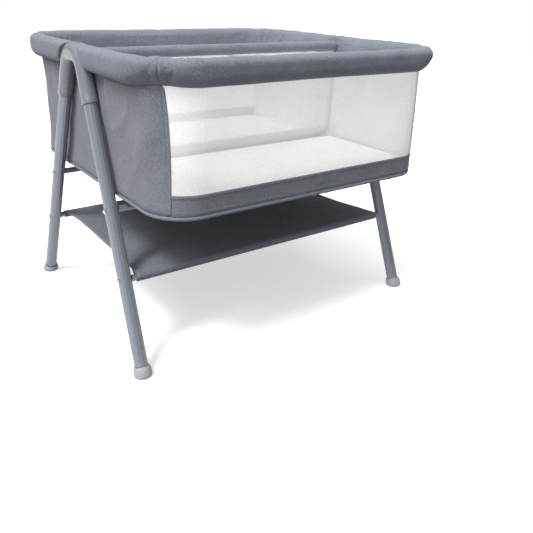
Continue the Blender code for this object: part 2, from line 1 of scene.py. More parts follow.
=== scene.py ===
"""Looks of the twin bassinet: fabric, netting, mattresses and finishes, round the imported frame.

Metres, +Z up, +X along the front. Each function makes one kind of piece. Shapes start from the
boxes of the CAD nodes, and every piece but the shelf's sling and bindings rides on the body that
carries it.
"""

import math

import bmesh
import bpy
import numpy as np
from mathutils import Matrix, Vector


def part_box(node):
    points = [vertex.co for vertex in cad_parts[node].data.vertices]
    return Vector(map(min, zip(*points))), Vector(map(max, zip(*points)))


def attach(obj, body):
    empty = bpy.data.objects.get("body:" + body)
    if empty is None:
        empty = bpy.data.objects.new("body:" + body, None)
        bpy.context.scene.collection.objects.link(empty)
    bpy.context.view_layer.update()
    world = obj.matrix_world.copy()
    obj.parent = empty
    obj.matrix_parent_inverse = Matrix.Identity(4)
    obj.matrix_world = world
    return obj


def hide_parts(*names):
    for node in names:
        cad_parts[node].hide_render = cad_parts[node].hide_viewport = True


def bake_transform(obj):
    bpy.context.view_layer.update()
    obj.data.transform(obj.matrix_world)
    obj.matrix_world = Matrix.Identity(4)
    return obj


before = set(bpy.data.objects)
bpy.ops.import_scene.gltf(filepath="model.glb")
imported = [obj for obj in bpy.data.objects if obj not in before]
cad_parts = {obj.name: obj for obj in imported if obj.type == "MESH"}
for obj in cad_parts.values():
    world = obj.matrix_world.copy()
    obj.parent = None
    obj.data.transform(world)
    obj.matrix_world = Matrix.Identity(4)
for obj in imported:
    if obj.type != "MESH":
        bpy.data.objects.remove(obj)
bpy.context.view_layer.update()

SIDES = {"left": -1, "right": 1}
ENDS = {"front": -1, "rear": 1}
MM = 0.001
WHITE = (1.0, 1.0, 1.0, 1.0)
SWELL_FRAMES = 14
STITCH_PITCH = 0.0050
STITCH_RADIUS = 0.0007


def span(*names):
    """The lowest and highest corner of several CAD nodes together."""
    corners = np.array([[tuple(corner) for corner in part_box(name)] for name in names])
    return corners[:, 0].min(axis=0), corners[:, 1].max(axis=0)


# The padded rail and its section.
RAIL_LOW, RAIL_HIGH = span("rail_pad_front", "rail_pad_rear")
RAIL_WIDTH = 0.043
RAIL_HEIGHT = RAIL_HIGH[2] - RAIL_LOW[2]
RAIL_EDGE = 0.018
RAIL_X = RAIL_HIGH[0] - RAIL_WIDTH / 2
RAIL_Y = RAIL_HIGH[1] - RAIL_WIDTH / 2
RAIL_Z = (RAIL_HIGH[2] + RAIL_LOW[2]) / 2
RAIL_CORNER = 0.150 - RAIL_WIDTH / 2

# The basket's wall: its plan at the foot, and how far it flares at the top.
BAND_LOW, BAND_HIGH = span("bottom_band_front", "bottom_band_rear")
WINDOW_HIGH = span("mesh_window_front", "mesh_window_rear")[1]
PANEL_HIGH = span("end_panel_left", "end_panel_right")[1]
WALL_Y = BAND_HIGH[1]
WALL_BOTTOM = BAND_LOW[2]
WALL_TOP = WINDOW_HIGH[2]
BAND_TOP = BAND_HIGH[2]
# The end walls are held in at PINCH_X between the legs, out to PINCH_Y, and free from FREE_Y.
# A wall's top edge is tucked up into the rail by TUCK.
FLARE_X = 0.0245
FLARE_Y = WINDOW_HIGH[1] - WALL_Y
WALL_X = PANEL_HIGH[0] - FLARE_X
WALL_RADIUS = 0.100
FLARE_RADIUS = 0.045
PINCH_X = 0.4292
PINCH_Y = 0.116
FREE_Y = 0.160
# Covers and walls meet in seams at the middle of each corner. The seam's groove in the rail is
# SEAM_DEPTH deep and SEAM_SPREAD degrees wide, and SEAM_HOLD keeps its two sides pressed together.
SEAM_ANGLE = 45.0
SEAM_HOLD = 0.96
SEAM_DEPTH = 0.0015
SEAM_SPREAD = 0.75
TUCK = 0.003

# How thick each cloth is.
PANEL_CLOTH = 0.0012
LINING_CLOTH = 0.0006
STRIP_CLOTH = 0.0007
FOOT_BAND_CLOTH = 0.0011
SHELF_CLOTH = 0.0009
TAPE_CLOTH = 0.0008

# The stands: the line of each leg, and the arch over a pair of legs.
FOOT_X = 0.4386
FOOT_Y = 0.3288
LEAN_X = 0.0182
LEAN_Y = 0.4014
LEG_RADIUS = 0.0163
LEG_START = 0.010
FLUTES = 12
FLUTE_DEPTH = 0.00055
FLUTE_SPREAD = 0.055
LEG_TOP = 0.660
ARCH_RADIUS = 0.0193
ARCH_CROWN = 0.728
COLLAR_Z = 0.6075
ARCH_BEND = (FOOT_Y - LEAN_Y * ARCH_CROWN) / (math.hypot(1.0, LEAN_Y) - LEAN_Y)
SOCKET_RADIUS = 0.0178
SOCKET_TOP = 0.664

LOWER_TUBE = span("lower_tube_front", "lower_tube_rear")
TUBE_RADIUS = 0.0080
TUBE_Y = LOWER_TUBE[1][1] - TUBE_RADIUS
TUBE_Z = (LOWER_TUBE[0][2] + LOWER_TUBE[1][2]) / 2


# ---- numbers and shapes


def ring_turns(count):
    """Evenly spaced angles round a circle."""
    return np.arange(count) * 2 * math.pi / count


def lengths_along(line):
    """The distance from the start of a line to each of its points."""
    return np.concatenate(([0.0], np.cumsum(np.linalg.norm(np.diff(line, axis=0), axis=1))))


def points_along(line, lengths, at):
    """The points of a line at given distances from its start."""
    return np.stack([np.interp(at, lengths, column) for column in line.T], axis=1)


def spaced_round(loop, count):
    """Evenly spaced points round a line that ends where it starts."""
    lengths = lengths_along(loop)
    return points_along(loop, lengths, np.linspace(0, lengths[-1], count, endpoint=False))


def smooth_step(values, start, end):
    """0 before start, 1 after end, and an S curve between them."""
    share = np.clip((values - start) / (end - start), 0.0, 1.0)
    return share * share * (3.0 - 2.0 * share)


def bump_of(values, centre, width):
    """A rounded hill of height 1."""
    return np.exp(-(((values - centre) / width) ** 2))


def creases(u, v, seed, count, height, length, width, tilt=(20, 70), spread=None):
    """Soft folds over a surface measured in metres, each with its own place, direction and size.

    spread is the half size of the surface, for one that is worked out in several calls.
    """
    rng = np.random.default_rng(seed)
    total = np.zeros_like(u)
    low_u, high_u, low_v, high_v = u.min(), u.max(), v.min(), v.max()
    if spread is not None:
        low_u, high_u, low_v, high_v = -spread[0], spread[0], -spread[1], spread[1]
    for _ in range(count):
        centre_u = rng.uniform(low_u, high_u)
        centre_v = rng.uniform(low_v, high_v)
        turn = math.radians(rng.uniform(*tilt)) * rng.choice((-1, 1))
        reach = length * rng.uniform(0.5, 1.3)
        breadth = width * rng.uniform(0.6, 1.4)
        lift = height * rng.uniform(0.4, 1.0)
        along = (u - centre_u) * math.cos(turn) + (v - centre_v) * math.sin(turn)
        across = (v - centre_v) * math.cos(turn) - (u - centre_u) * math.sin(turn)
        bow = across - 0.4 * along * along / reach
        total += lift * np.exp(-((along / reach) ** 2) - (bow / breadth) ** 2)
    return total


def swell(u, v, seed, height, lengths):
    """Gentle uneven waves, a sum of sines with fixed random directions."""
    count = 9
    rng = np.random.default_rng(seed)
    total = np.zeros_like(u)
    for _ in range(count):
        turn = rng.uniform(0, math.pi)
        wave = 2 * math.pi / rng.uniform(*lengths)
        phase = rng.uniform(0, 2 * math.pi)
        total += np.sin(wave * (u * math.cos(turn) + v * math.sin(turn)) + phase)
    return total * height / math.sqrt(count)


def add_mesh(name, points, faces, material, smooth=True):
    mesh = bpy.data.meshes.new(name)
    mesh.from_pydata([tuple(p) for p in points], [], [tuple(f) for f in faces])
    mesh.validate()
    mesh.materials.append(material)
    if smooth:
        mesh.shade_smooth()
    obj = bpy.data.objects.new(name, mesh)
    bpy.context.scene.collection.objects.link(obj)
    return obj


def grid_faces(rows, columns, wrap_rows=False, wrap_columns=False):
    faces = []
    for i in range(rows if wrap_rows else rows - 1):
        for j in range(columns if wrap_columns else columns - 1):
            this, after = i * columns, ((i + 1) % rows) * columns
            beside = (j + 1) % columns
            faces.append((this + j, this + beside, after + beside, after + j))
    return faces


def fix_normals(obj):
    bm = bmesh.new()
    bm.from_mesh(obj.data)
    bmesh.ops.recalc_face_normals(bm, faces=bm.faces)
    bm.to_mesh(obj.data)
    bm.free()


def tube_mesh(name, rings, material, closed=False):
    """A closed skin over rings of points, capped at both ends or joined into a loop."""
    rings = np.asarray(rings, float)
    count, sides = rings.shape[:2]
    points = list(rings.reshape(-1, 3))
    faces = grid_faces(count, sides, wrap_rows=closed, wrap_columns=True)
    if not closed:
        for ring, first in ((0, 0), (count - 1, (count - 1) * sides)):
            centre = len(points)
            points.append(rings[ring].mean(axis=0))
            for j in range(sides):
                faces.append((first + j, first + (j + 1) % sides, centre))
    obj = add_mesh(name, points, faces, material)
    fix_normals(obj)
    return obj


def sheet_mesh(name, grid, material, thickness=0.0, offset=-1.0):
    """A cloth surface over a grid of points, with thickness where it is asked for."""
    grid = np.asarray(grid, float)
    rows, columns = grid.shape[:2]
    obj = add_mesh(name, grid.reshape(-1, 3), grid_faces(rows, columns), material)
    if thickness:
        solid = obj.modifiers.new("thickness", "SOLIDIFY")
        solid.thickness = thickness
        solid.offset = offset
        solid.use_even_offset = True
    return obj


def coordinates(obj):
    points = np.empty(len(obj.data.vertices) * 3, np.float32)
    obj.data.vertices.foreach_get("co", points)
    return points.reshape(-1, 3).astype(float)


def set_coordinates(obj, points):
    obj.data.vertices.foreach_set("co", np.asarray(points, np.float32).ravel())
    obj.data.update()


def normals(obj):
    values = np.empty(len(obj.data.vertices) * 3, np.float32)
    obj.data.vertices.foreach_get("normal", values)
    return values.reshape(-1, 3).astype(float)


def apply_modifiers(obj):
    graph = bpy.context.evaluated_depsgraph_get()
    mesh = bpy.data.meshes.new_from_object(obj.evaluated_get(graph))
    obj.modifiers.clear()
    obj.data = mesh
    obj.data.shade_smooth()


def subdivide(obj):
    modifier = obj.modifiers.new("subdivision", "SUBSURF")
    modifier.levels = modifier.render_levels = 1
    apply_modifiers(obj)


def inflate(obj, pressure, cap, grow=0.0, held=None):
    """Cloth simulation of a stuffed cover. No point ends further than cap from where it began."""
    start = coordinates(obj)
    cloth = obj.modifiers.new("cloth", "CLOTH")
    settings = cloth.settings
    settings.quality = 6
    settings.mass = 0.25
    settings.tension_stiffness = 12
    settings.compression_stiffness = 12
    settings.shear_stiffness = 6
    settings.bending_stiffness = 0.4
    settings.use_pressure = True
    settings.uniform_pressure_force = pressure
    settings.shrink_min = -grow
    settings.effector_weights.gravity = 0.0
    if held is not None:
        group = obj.vertex_groups.new(name="held")
        for index in np.flatnonzero(held > 0.01):
            group.add([int(index)], float(held[index]), "REPLACE")
        settings.vertex_group_mass = "held"
    cloth.point_cache.frame_start = 1
    cloth.point_cache.frame_end = SWELL_FRAMES
    scene = bpy.context.scene
    for number in range(1, SWELL_FRAMES + 1):
        scene.frame_set(number)
    graph = bpy.context.evaluated_depsgraph_get()
    shown = obj.evaluated_get(graph)
    mesh = shown.to_mesh()
    ended = np.empty(len(mesh.vertices) * 3, np.float32)
    mesh.vertices.foreach_get("co", ended)
    shown.to_mesh_clear()
    obj.modifiers.remove(cloth)
    scene.frame_set(1)
    move = np.nan_to_num(ended.reshape(-1, 3).astype(float) - start)
    length = np.linalg.norm(move, axis=1, keepdims=True)
    move *= np.minimum(1.0, cap / np.maximum(length, 1e-9))
    set_coordinates(obj, start + move)
    obj.vertex_groups.clear()


def finish_piece(obj, body, slot, *nodes):
    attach(obj, body)
    if nodes:
        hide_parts(*nodes)
    return obj


def stitches(name, line, body, slot, material):
    """A row of raised thread stitches along a line of points."""
    line = np.asarray(line, float)
    lengths = lengths_along(line)
    count = max(2, int(lengths[-1] / STITCH_PITCH))
    centres = np.linspace(STITCH_PITCH / 2, lengths[-1] - STITCH_PITCH / 2, count)
    half = STITCH_PITCH * 0.33
    bend = half * 0.55
    sides = 5
    turns = ring_turns(sides)
    places = {
        shift: points_along(line, lengths, centres + shift) for shift in (-half, -bend, bend, half)
    }
    forward = places[half] - places[-half]
    forward /= np.linalg.norm(forward, axis=1, keepdims=True)
    up = np.array([0.0, 0.0, 1.0]) - forward * forward[:, 2:3]
    up /= np.maximum(np.linalg.norm(up, axis=1, keepdims=True), 1e-9)
    side = np.cross(forward, up)
    points = []
    faces = []
    for i in range(count):
        first = len(points)
        points.append(places[-half][i])
        for shift in (-bend, bend):
            for turn in turns:
                around = up[i] * math.cos(turn) + side[i] * math.sin(turn)
                points.append(places[shift][i] + around * STITCH_RADIUS)
        points.append(places[half][i])
        last = first + 2 * sides + 1
        for j in range(sides):
            a = first + 1 + j
            b = first + 1 + (j + 1) % sides
            faces.append((first, b, a))
            faces.append((a, b, b + sides, a + sides))
            faces.append((last, a + sides, b + sides))
    obj = add_mesh(name, points, faces, material)
    return finish_piece(obj, body, slot)


# ---- materials


def new_material(name, colour, roughness, metallic=0.0):
    material = bpy.data.materials.new(name)
    material.use_nodes = True
    tree = material.node_tree
    shader = tree.nodes["Principled BSDF"]
    set_inputs(shader, Base_Color=(*colour, 1.0), Roughness=roughness, Metallic=metallic)
    return material, tree, shader


def set_inputs(node, **values):
    """Sets a node's unlinked sockets. An underscore stands for a space in a socket's name."""
    for name, value in values.items():
        node.inputs[name.replace("_", " ")].default_value = value


def add_node(tree, kind, **inputs):
    node = tree.nodes.new(kind)
    set_inputs(node, **inputs)
    return node


def object_coordinates(tree, scale=(1.0, 1.0, 1.0)):
    place = tree.nodes.new("ShaderNodeTexCoord")
    mapping = add_node(tree, "ShaderNodeMapping", Scale=scale)
    tree.links.new(place.outputs["Object"], mapping.inputs["Vector"])
    return mapping.outputs["Vector"]


def noise(tree, vector, scale, detail=3.0, rough=0.55):
    node = add_node(tree, "ShaderNodeTexNoise", Scale=scale, Detail=detail, Roughness=rough)
    tree.links.new(vector, node.inputs["Vector"])
    return node.outputs["Fac"]


def wave(tree, vector, direction, pitch):
    """Threads running across one axis, pitch metres apart."""
    scale = 2 * math.pi / (20 * pitch)
    node = add_node(tree, "ShaderNodeTexWave", Scale=scale, Distortion=0.6, Detail_Scale=2.0)
    node.bands_direction = direction
    tree.links.new(vector, node.inputs["Vector"])
    return node.outputs["Fac"]


def threads(tree, vector, pitch):
    """The height of a plain weave: threads along each axis passing over and under."""
    across, deep, upright = (wave(tree, vector, axis, pitch) for axis in "XYZ")
    return arithmetic(tree, "MULTIPLY", arithmetic(tree, "MAXIMUM", across, deep), upright)


def arithmetic(tree, operation, first, second):
    node = tree.nodes.new("ShaderNodeMath")
    node.operation = operation
    for socket, value in zip(node.inputs, (first, second)):
        if isinstance(value, (int, float)):
            socket.default_value = value
        else:
            tree.links.new(value, socket)
    return node.outputs["Value"]


def add_share(tree, first, second, share):
    """One value plus a share of another."""
    return arithmetic(tree, "ADD", first, arithmetic(tree, "MULTIPLY", second, share))


def map_range(tree, value, **limits):
    node = add_node(tree, "ShaderNodeMapRange", **limits)
    tree.links.new(value, node.inputs["Value"])
    return node.outputs["Result"]


def colour_ramp(tree, factor, stops):
    """A colour ramp with (position, colour) stops."""
    ramp = tree.nodes.new("ShaderNodeValToRGB")
    elements = ramp.color_ramp.elements
    while len(elements) < len(stops):
        elements.new(0.5)
    for element, (position, colour) in zip(elements, stops):
        element.position = position
        element.color = (*colour, 1.0)
    tree.links.new(factor, ramp.inputs["Fac"])
    return ramp.outputs["Color"]


def shades(tree, factor, colour, dark, light=1.0, low=0.3, high=0.7):
    """A ramp between two shades of one colour, each given as a multiple of it."""
    ends = ((low, dark), (high, light))
    stops = [(at, [channel * shade for channel in colour]) for at, shade in ends]
    return colour_ramp(tree, factor, stops)


def tint(tree, shader, *values, **limits):
    """Gives a shader a base colour that fades between two shades."""
    tree.links.new(shades(tree, *values, **limits), shader.inputs["Base Color"])


def add_bump(tree, shader, height, distance, strength):
    node = add_node(tree, "ShaderNodeBump", Strength=strength, Distance=distance)
    tree.links.new(height, node.inputs["Height"])
    tree.links.new(node.outputs["Normal"], shader.inputs["Normal"])


def woven(name, colour, pitch=0.0012, roughness=0.92, contrast=0.22, sheen=0.25, depth=0.00035):
    """Woven polyester: two shades of yarn, a plain weave and slow fading over the cloth."""
    material, tree, shader = new_material(name, colour, roughness)
    vector = object_coordinates(tree)
    weave = threads(tree, vector, pitch)
    yarn = noise(tree, vector, 330.0, 3.0, 0.7)
    patch = noise(tree, vector, 9.0, 4.0)
    mixed = add_share(tree, add_share(tree, yarn, patch, 0.25), weave, 0.10)
    tint(tree, shader, mixed, colour, 1.0 - contrast, 1.0 + contrast, low=0.54, high=0.80)
    add_bump(tree, shader, add_share(tree, weave, yarn, 0.6), depth, 0.7)
    set_inputs(shader, Sheen_Weight=sheen, Sheen_Roughness=0.45, Specular_IOR_Level=0.25)
    return material


def netting(name, colour):
    """Fine knitted mesh: pale threads round small open cells, with a faint painted glow for light
    coming through the net.
    """
    cell, open_alpha, thread_alpha = 0.0016, 0.42, 0.70
    material, tree, shader = new_material(name, colour, 0.80)
    vector = object_coordinates(tree)
    cells = add_node(tree, "ShaderNodeTexVoronoi", Scale=1.0 / cell, Randomness=0.9)
    cells.feature = "DISTANCE_TO_EDGE"
    tree.links.new(vector, cells.inputs["Vector"])
    distance = cells.outputs["Distance"]
    limits = {"From Min": 0.14, "From Max": 0.26, "To Min": thread_alpha, "To Max": open_alpha}
    tree.links.new(map_range(tree, distance, **limits), shader.inputs["Alpha"])
    tint(tree, shader, noise(tree, vector, 14.0), colour, 0.94, low=0.35, high=0.65)
    add_bump(tree, shader, distance, 0.0003, 0.25)
    # The faint white emission is a painted glow: the net is no lamp, it stands in for light passing
    # through the threads.
    set_inputs(shader, Specular_IOR_Level=0.2, Emission_Color=WHITE, Emission_Strength=0.16)
    return material


def satin_lining(name, colour):
    """Coated lining cloth: smooth, slightly shiny, with fine crinkles."""
    material, tree, shader = new_material(name, colour, 0.42)
    vector = object_coordinates(tree)
    crinkle = noise(tree, vector, 55.0, 5.0, 0.6)
    fine = threads(tree, vector, 0.0009)
    tint(tree, shader, crinkle, colour, 0.95)
    add_bump(tree, shader, add_share(tree, crinkle, fine, 0.06), 0.0016, 0.5)
    set_inputs(shader, Sheen_Weight=0.1)
    return material


def mattress_cloth(name, colour, painted_shade_border, border_top):
    """Soft knitted cover, cream on top, with its border below the welt painted a little darker as
    shade on the sides.
    """
    material, tree, shader = new_material(name, colour, 0.88)
    vector = object_coordinates(tree)
    rib = threads(tree, vector, 0.0018)
    fluff = noise(tree, vector, 260.0, 3.0)
    patch = noise(tree, vector, 12.0, 3.0)
    axes = tree.nodes.new("ShaderNodeSeparateXYZ")
    tree.links.new(vector, axes.inputs["Vector"])
    limits = {"From Min": border_top - 0.0015, "From Max": border_top + 0.0005}
    level = map_range(tree, axes.outputs["Z"], **limits)
    mix = tree.nodes.new("ShaderNodeMix")
    mix.data_type = "RGBA"
    tree.links.new(level, mix.inputs["Factor"])
    top = shades(tree, patch, colour, 0.965)
    # The border below the welt is painted darker than the top, as shade on the mattress's sides.
    side = shades(tree, fluff, painted_shade_border, 0.93)
    tree.links.new(side, mix.inputs["A"])
    tree.links.new(top, mix.inputs["B"])
    tree.links.new(mix.outputs["Result"], shader.inputs["Base Color"])
    add_bump(tree, shader, add_share(tree, rib, fluff, 0.8), 0.0005, 0.6)
    set_inputs(shader, Sheen_Weight=0.2)
    return material


def uneven_roughness(tree, shader, factor, low, high):
    """Lets the gloss vary with a noise, as handling and moulding leave it."""
    rough = map_range(tree, factor, To_Min=low, To_Max=high)
    tree.links.new(rough, shader.inputs["Roughness"])


def painted_metal(name, colour):
    """Satin metallic paint on steel tube, with fine drawn lines and light handling marks."""
    roughness = 0.34
    material, tree, shader = new_material(name, colour, roughness, metallic=0.35)
    vector = object_coordinates(tree)
    drawn = noise(tree, object_coordinates(tree, (420.0, 420.0, 6.0)), 1.0, 3.0)
    flake = noise(tree, vector, 1400.0, 1.0)
    tint(tree, shader, drawn, colour, 0.90, 1.08, low=0.25, high=0.75)
    rub = noise(tree, vector, 30.0, 4.0)
    uneven_roughness(tree, shader, rub, roughness - 0.06, roughness + 0.10)
    add_bump(tree, shader, add_share(tree, drawn, flake, 0.15), 0.00012, 0.5)
    set_inputs(shader, Coat_Weight=0.25, Coat_Roughness=0.25)
    return material


def bare_metal(name, colour):
    """Zinc-plated steel with a faint mottled grain."""
    material, tree, shader = new_material(name, colour, 0.3, metallic=1.0)
    grain = noise(tree, object_coordinates(tree), 700.0, 3.0)
    tint(tree, shader, grain, colour, 0.86)
    add_bump(tree, shader, grain, 0.00008, 0.5)
    return material


def moulded(name, colour, roughness, coat=0.15):
    """Injection-moulded plastic with a fine spark texture and faint flow marks."""
    material, tree, shader = new_material(name, colour, roughness)
    vector = object_coordinates(tree)
    spark = noise(tree, vector, 900.0, 2.0)
    flow = noise(tree, vector, 22.0, 3.0)
    tint(tree, shader, flow, colour, 0.96, 1.03)
    uneven_roughness(tree, shader, flow, roughness - 0.05, roughness + 0.08)
    add_bump(tree, shader, spark, 0.0001, 0.35)
    set_inputs(shader, Coat_Weight=coat, Coat_Roughness=0.3)
    return material


def pressed_board(name, colour):
    """Coated hardboard under the mattresses, with short fibres just showing."""
    material, tree, shader = new_material(name, colour, 0.8)
    fibre = noise(tree, object_coordinates(tree, (1.0, 1.0, 4.0)), 240.0, 5.0, 0.7)
    tint(tree, shader, fibre, colour, 0.88, 1.08, low=0.25, high=0.75)
    add_bump(tree, shader, fibre, 0.0003, 0.5)
    return material


# The welt's height, where the mattress cover turns from its top to its border, which is painted
# darker as shade.
BORDER_TOP = span("mattress_front", "mattress_rear")[1][2] - 0.007

FINISHES = {
    "rail_fabric": (woven, (0.225, 0.243, 0.292), {}),
    "panel_fabric": (woven, (0.240, 0.253, 0.292), {}),
    "mesh_fabric": (netting, (0.96, 0.96, 0.965), {}),
    "lining_fabric": (satin_lining, (0.80, 0.80, 0.82), {}),
    "piping_fabric": (woven, (0.25, 0.28, 0.33), {"contrast": 0.10, "sheen": 0.15}),
    "base_fabric": (woven, (0.15, 0.16, 0.185), {"contrast": 0.12}),
    "shelf_fabric": (
        woven,
        (0.220, 0.236, 0.272),
        {"pitch": 0.0014, "roughness": 0.75, "contrast": 0.14, "sheen": 0.12},
    ),
    "mattress_fabric": (
        mattress_cloth,
        (0.90, 0.89, 0.86),
        # The border's colour is the cream painted darker, as shade on the mattress's sides.
        {"painted_shade_border": (0.74, 0.73, 0.70), "border_top": BORDER_TOP},
    ),
    "strip_fabric": (
        woven,
        (0.66, 0.66, 0.67),
        {"pitch": 0.0022, "roughness": 0.97, "contrast": 0.2, "depth": 0.0009},
    ),
    "painted_steel": (painted_metal, (0.27, 0.295, 0.335), {}),
    "bare_steel": (bare_metal, (0.62, 0.63, 0.65), {}),
    "arch_plastic": (moulded, (0.235, 0.252, 0.288), {"roughness": 0.24, "coat": 0.5}),
    "foot_plastic": (moulded, (0.47, 0.49, 0.53), {"roughness": 0.42}),
    "bracket_plastic": (moulded, (0.06, 0.062, 0.07), {"roughness": 0.5}),
    "board": (pressed_board, (0.52, 0.52, 0.53), {}),
}
materials = {
    name: make(name, colour, **options) for name, (make, colour, options) in FINISHES.items()
}


# ---- camera, light and floor


def make_camera():
    """The camera looks at the left front corner from a little above."""
    azimuth, elevation, roll = map(math.radians, (-34.795, 16.008, 1.708))
    target = Vector((0.0017, -0.0128, 0.3812))
    distance = 1.7974
    level = math.cos(elevation)
    back = Vector((math.sin(azimuth) * level, -math.cos(azimuth) * level, math.sin(elevation)))
    data = bpy.data.cameras.new("camera")
    data.lens = 40.396
    data.sensor_width = 36.0
    data.shift_x = 0.075
    data.shift_y = -0.195
    camera = bpy.data.objects.new("camera", data)
    bpy.context.scene.collection.objects.link(camera)
    across = Vector((0, 0, 1)).cross(back).normalized()
    upward = back.cross(across)
    turn = Matrix((across, upward, back)).transposed() @ Matrix.Rotation(roll, 3, "Z")
    camera.matrix_world = Matrix.Translation(target + back * distance) @ turn.to_4x4()
    bpy.context.scene.camera = camera


def area_light(name, place, target, size, power):
    data = bpy.data.lights.new(name, "AREA")
    data.size = size
    data.energy = power
    light = bpy.data.objects.new(name, data)
    bpy.context.scene.collection.objects.link(light)
    light.location = place
    light.rotation_euler = (Vector(target) - Vector(place)).to_track_quat("-Z", "Y").to_euler()


def make_world():
    """White to the camera. As light it is dimmer, bright at the upper left and dark opposite."""
    world = bpy.data.worlds.new("studio")
    world.use_nodes = True
    bpy.context.scene.world = world
    tree = world.node_tree
    place = tree.nodes.new("ShaderNodeTexCoord")
    facing = tree.nodes.new("ShaderNodeVectorMath")
    facing.operation = "DOT_PRODUCT"
    facing.inputs[1].default_value = (-0.74, -0.14, 0.66)
    tree.links.new(place.outputs["Generated"], facing.inputs[0])
    share = map_range(tree, facing.outputs["Value"], From_Min=-1.0)
    greys = ((0.10, 0.12), (0.50, 0.30), (1.0, 0.68))
    glow = colour_ramp(tree, share, [(position, (grey, grey, grey)) for position, grey in greys])
    path = tree.nodes.new("ShaderNodeLightPath")
    seen = tree.nodes.new("ShaderNodeMix")
    seen.data_type = "RGBA"
    seen.inputs["B"].default_value = WHITE
    tree.links.new(path.outputs["Is Camera Ray"], seen.inputs["Factor"])
    tree.links.new(glow, seen.inputs["A"])
    tree.links.new(seen.outputs["Result"], tree.nodes["Background"].inputs["Color"])


def make_stage():
    """A white room lit by a broad sun and soft boxes from the upper left, and a pale floor.

    The floor stays under the feet, so it rides on a stand when the stands are pulled out.
    """
    scene = bpy.context.scene
    scene.view_settings.view_transform = "Standard"
    make_world()
    data = bpy.data.lights.new("sun", "SUN")
    data.energy = 1.85
    data.angle = math.radians(16)
    sun = bpy.data.objects.new("sun", data)
    scene.collection.objects.link(sun)
    sun.rotation_euler = Vector((1.0, 0.25, -1.6)).to_track_quat("-Z", "Y").to_euler()
    area_light("key_light", (-2.4, -0.9, 2.5), (0, 0, 0.6), 0.8, 18)
    area_light("basket_light", (0.3, 0.2, 3.0), (0, 0, 0.5), 1.6, 28)

    floor_material, _, shader = new_material("floor", (0.90, 0.90, 0.90), 0.9)
    set_inputs(shader, Specular_IOR_Level=0.1, Emission_Color=WHITE, Emission_Strength=0.50)
    reach = 9.0
    corners = [(-reach, -reach, 0), (reach, -reach, 0), (reach, reach, 0), (-reach, reach, 0)]
    floor = add_mesh("floor", corners, [(0, 1, 2, 3)], floor_material, smooth=False)
    floor.location.z = -0.0004
    floor.visible_diffuse = False
    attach(floor, "rear_frame")


# ---- padded rail


def quarter_curve(wide, tall, power, steps=12):
    """A quarter of a superellipse from (wide, 0) to (0, tall). Power 1 is a true ellipse."""
    turn = np.linspace(0, math.pi / 2, steps + 1)
    return np.stack((wide * np.cos(turn) ** power, tall * np.sin(turn) ** power), axis=1)


def rail_section(corner, count):
    """Points round the rail's upright section as (out, up) from its middle, evenly spaced.

    The lower outer edge is widely rounded, and at a corner (1) it slopes right in to the wall.
    """
    half_wide, half_tall = RAIL_WIDTH / 2, RAIL_HEIGHT / 2
    under = (0.024 + 0.0135 * corner, 0.029 + 0.011 * corner, 1.0 + 0.45 * corner)
    edges = (
        (1, 1, (RAIL_EDGE, RAIL_EDGE, 1.0)),
        (-1, 1, (RAIL_EDGE, RAIL_EDGE, 1.0)),
        (-1, -1, (0.0055, 0.015, 1.0)),
        (1, -1, under),
    )
    ring = []
    for sign_x, sign_y, (wide, tall, power) in edges:
        curve = quarter_curve(wide, tall, power)
        if sign_x != sign_y:
            curve = curve[::-1]
        curve = curve + (half_wide - wide, half_tall - tall)
        ring.extend(curve * (sign_x, sign_y))
    return spaced_round(np.array(ring + ring[:1]), count)


def side_counts(half_b, radius, spacing):
    """How many points one side needs: round half a corner, and along its straight part."""
    arcs = max(3, math.ceil(radius * math.radians(SEAM_ANGLE) / spacing))
    return arcs, max(2, math.ceil(2 * (half_b - radius) / spacing)) + 1


def counted_side(half_a, half_b, radius, arcs, runs):
    """One side of a rounded rectangle, from the middle of a corner to the middle of the next.

    Returns the points (a, b) with the side at +a, their outward directions, and the corner angle
    of each, which is 0 on the straight part and runs to 45 degrees at a corner's middle.
    """
    straight = half_b - radius
    before = np.linspace(-SEAM_ANGLE, 0, arcs, endpoint=False)
    after = np.linspace(0, SEAM_ANGLE, arcs + 1)[1:]
    angles = np.concatenate((before, np.zeros(runs), after))
    middles = np.linspace(-straight, straight, runs)
    middles = np.concatenate((np.full(arcs, -straight), middles, np.full(arcs, straight)))
    turn = np.radians(angles)
    out = np.stack((np.cos(turn), np.sin(turn)), axis=1)
    points = np.stack((half_a - radius + radius * out[:, 0], middles + radius * out[:, 1]), axis=1)
    return points, out, angles


def side_line(half_a, half_b, radius, spacing):
    return counted_side(half_a, half_b, radius, *side_counts(half_b, radius, spacing))


def on_side(points, which, sign):
    """Turns (a, b, z) points, with the side at +a, to the right, left, front or rear side."""
    points = np.asarray(points, float)
    a, b, z = points[..., 0], points[..., 1], points[..., 2]
    if which == "x":
        return np.stack((sign * a, sign * b, z), axis=-1)
    return np.stack((-sign * b, sign * a, z), axis=-1)


def with_square_ends(rings):
    """Adds close rings at both ends, so that smoothing keeps the ends flat and full."""
    first, last = (
        [end.mean(axis=0) * 0.05 + end * 0.95, end, end * 0.9 + beside * 0.1]
        for end, beside in ((rings[0], rings[1]), (rings[-1], rings[-2]))
    )
    return np.concatenate((first, rings[1:-1], last[::-1]))


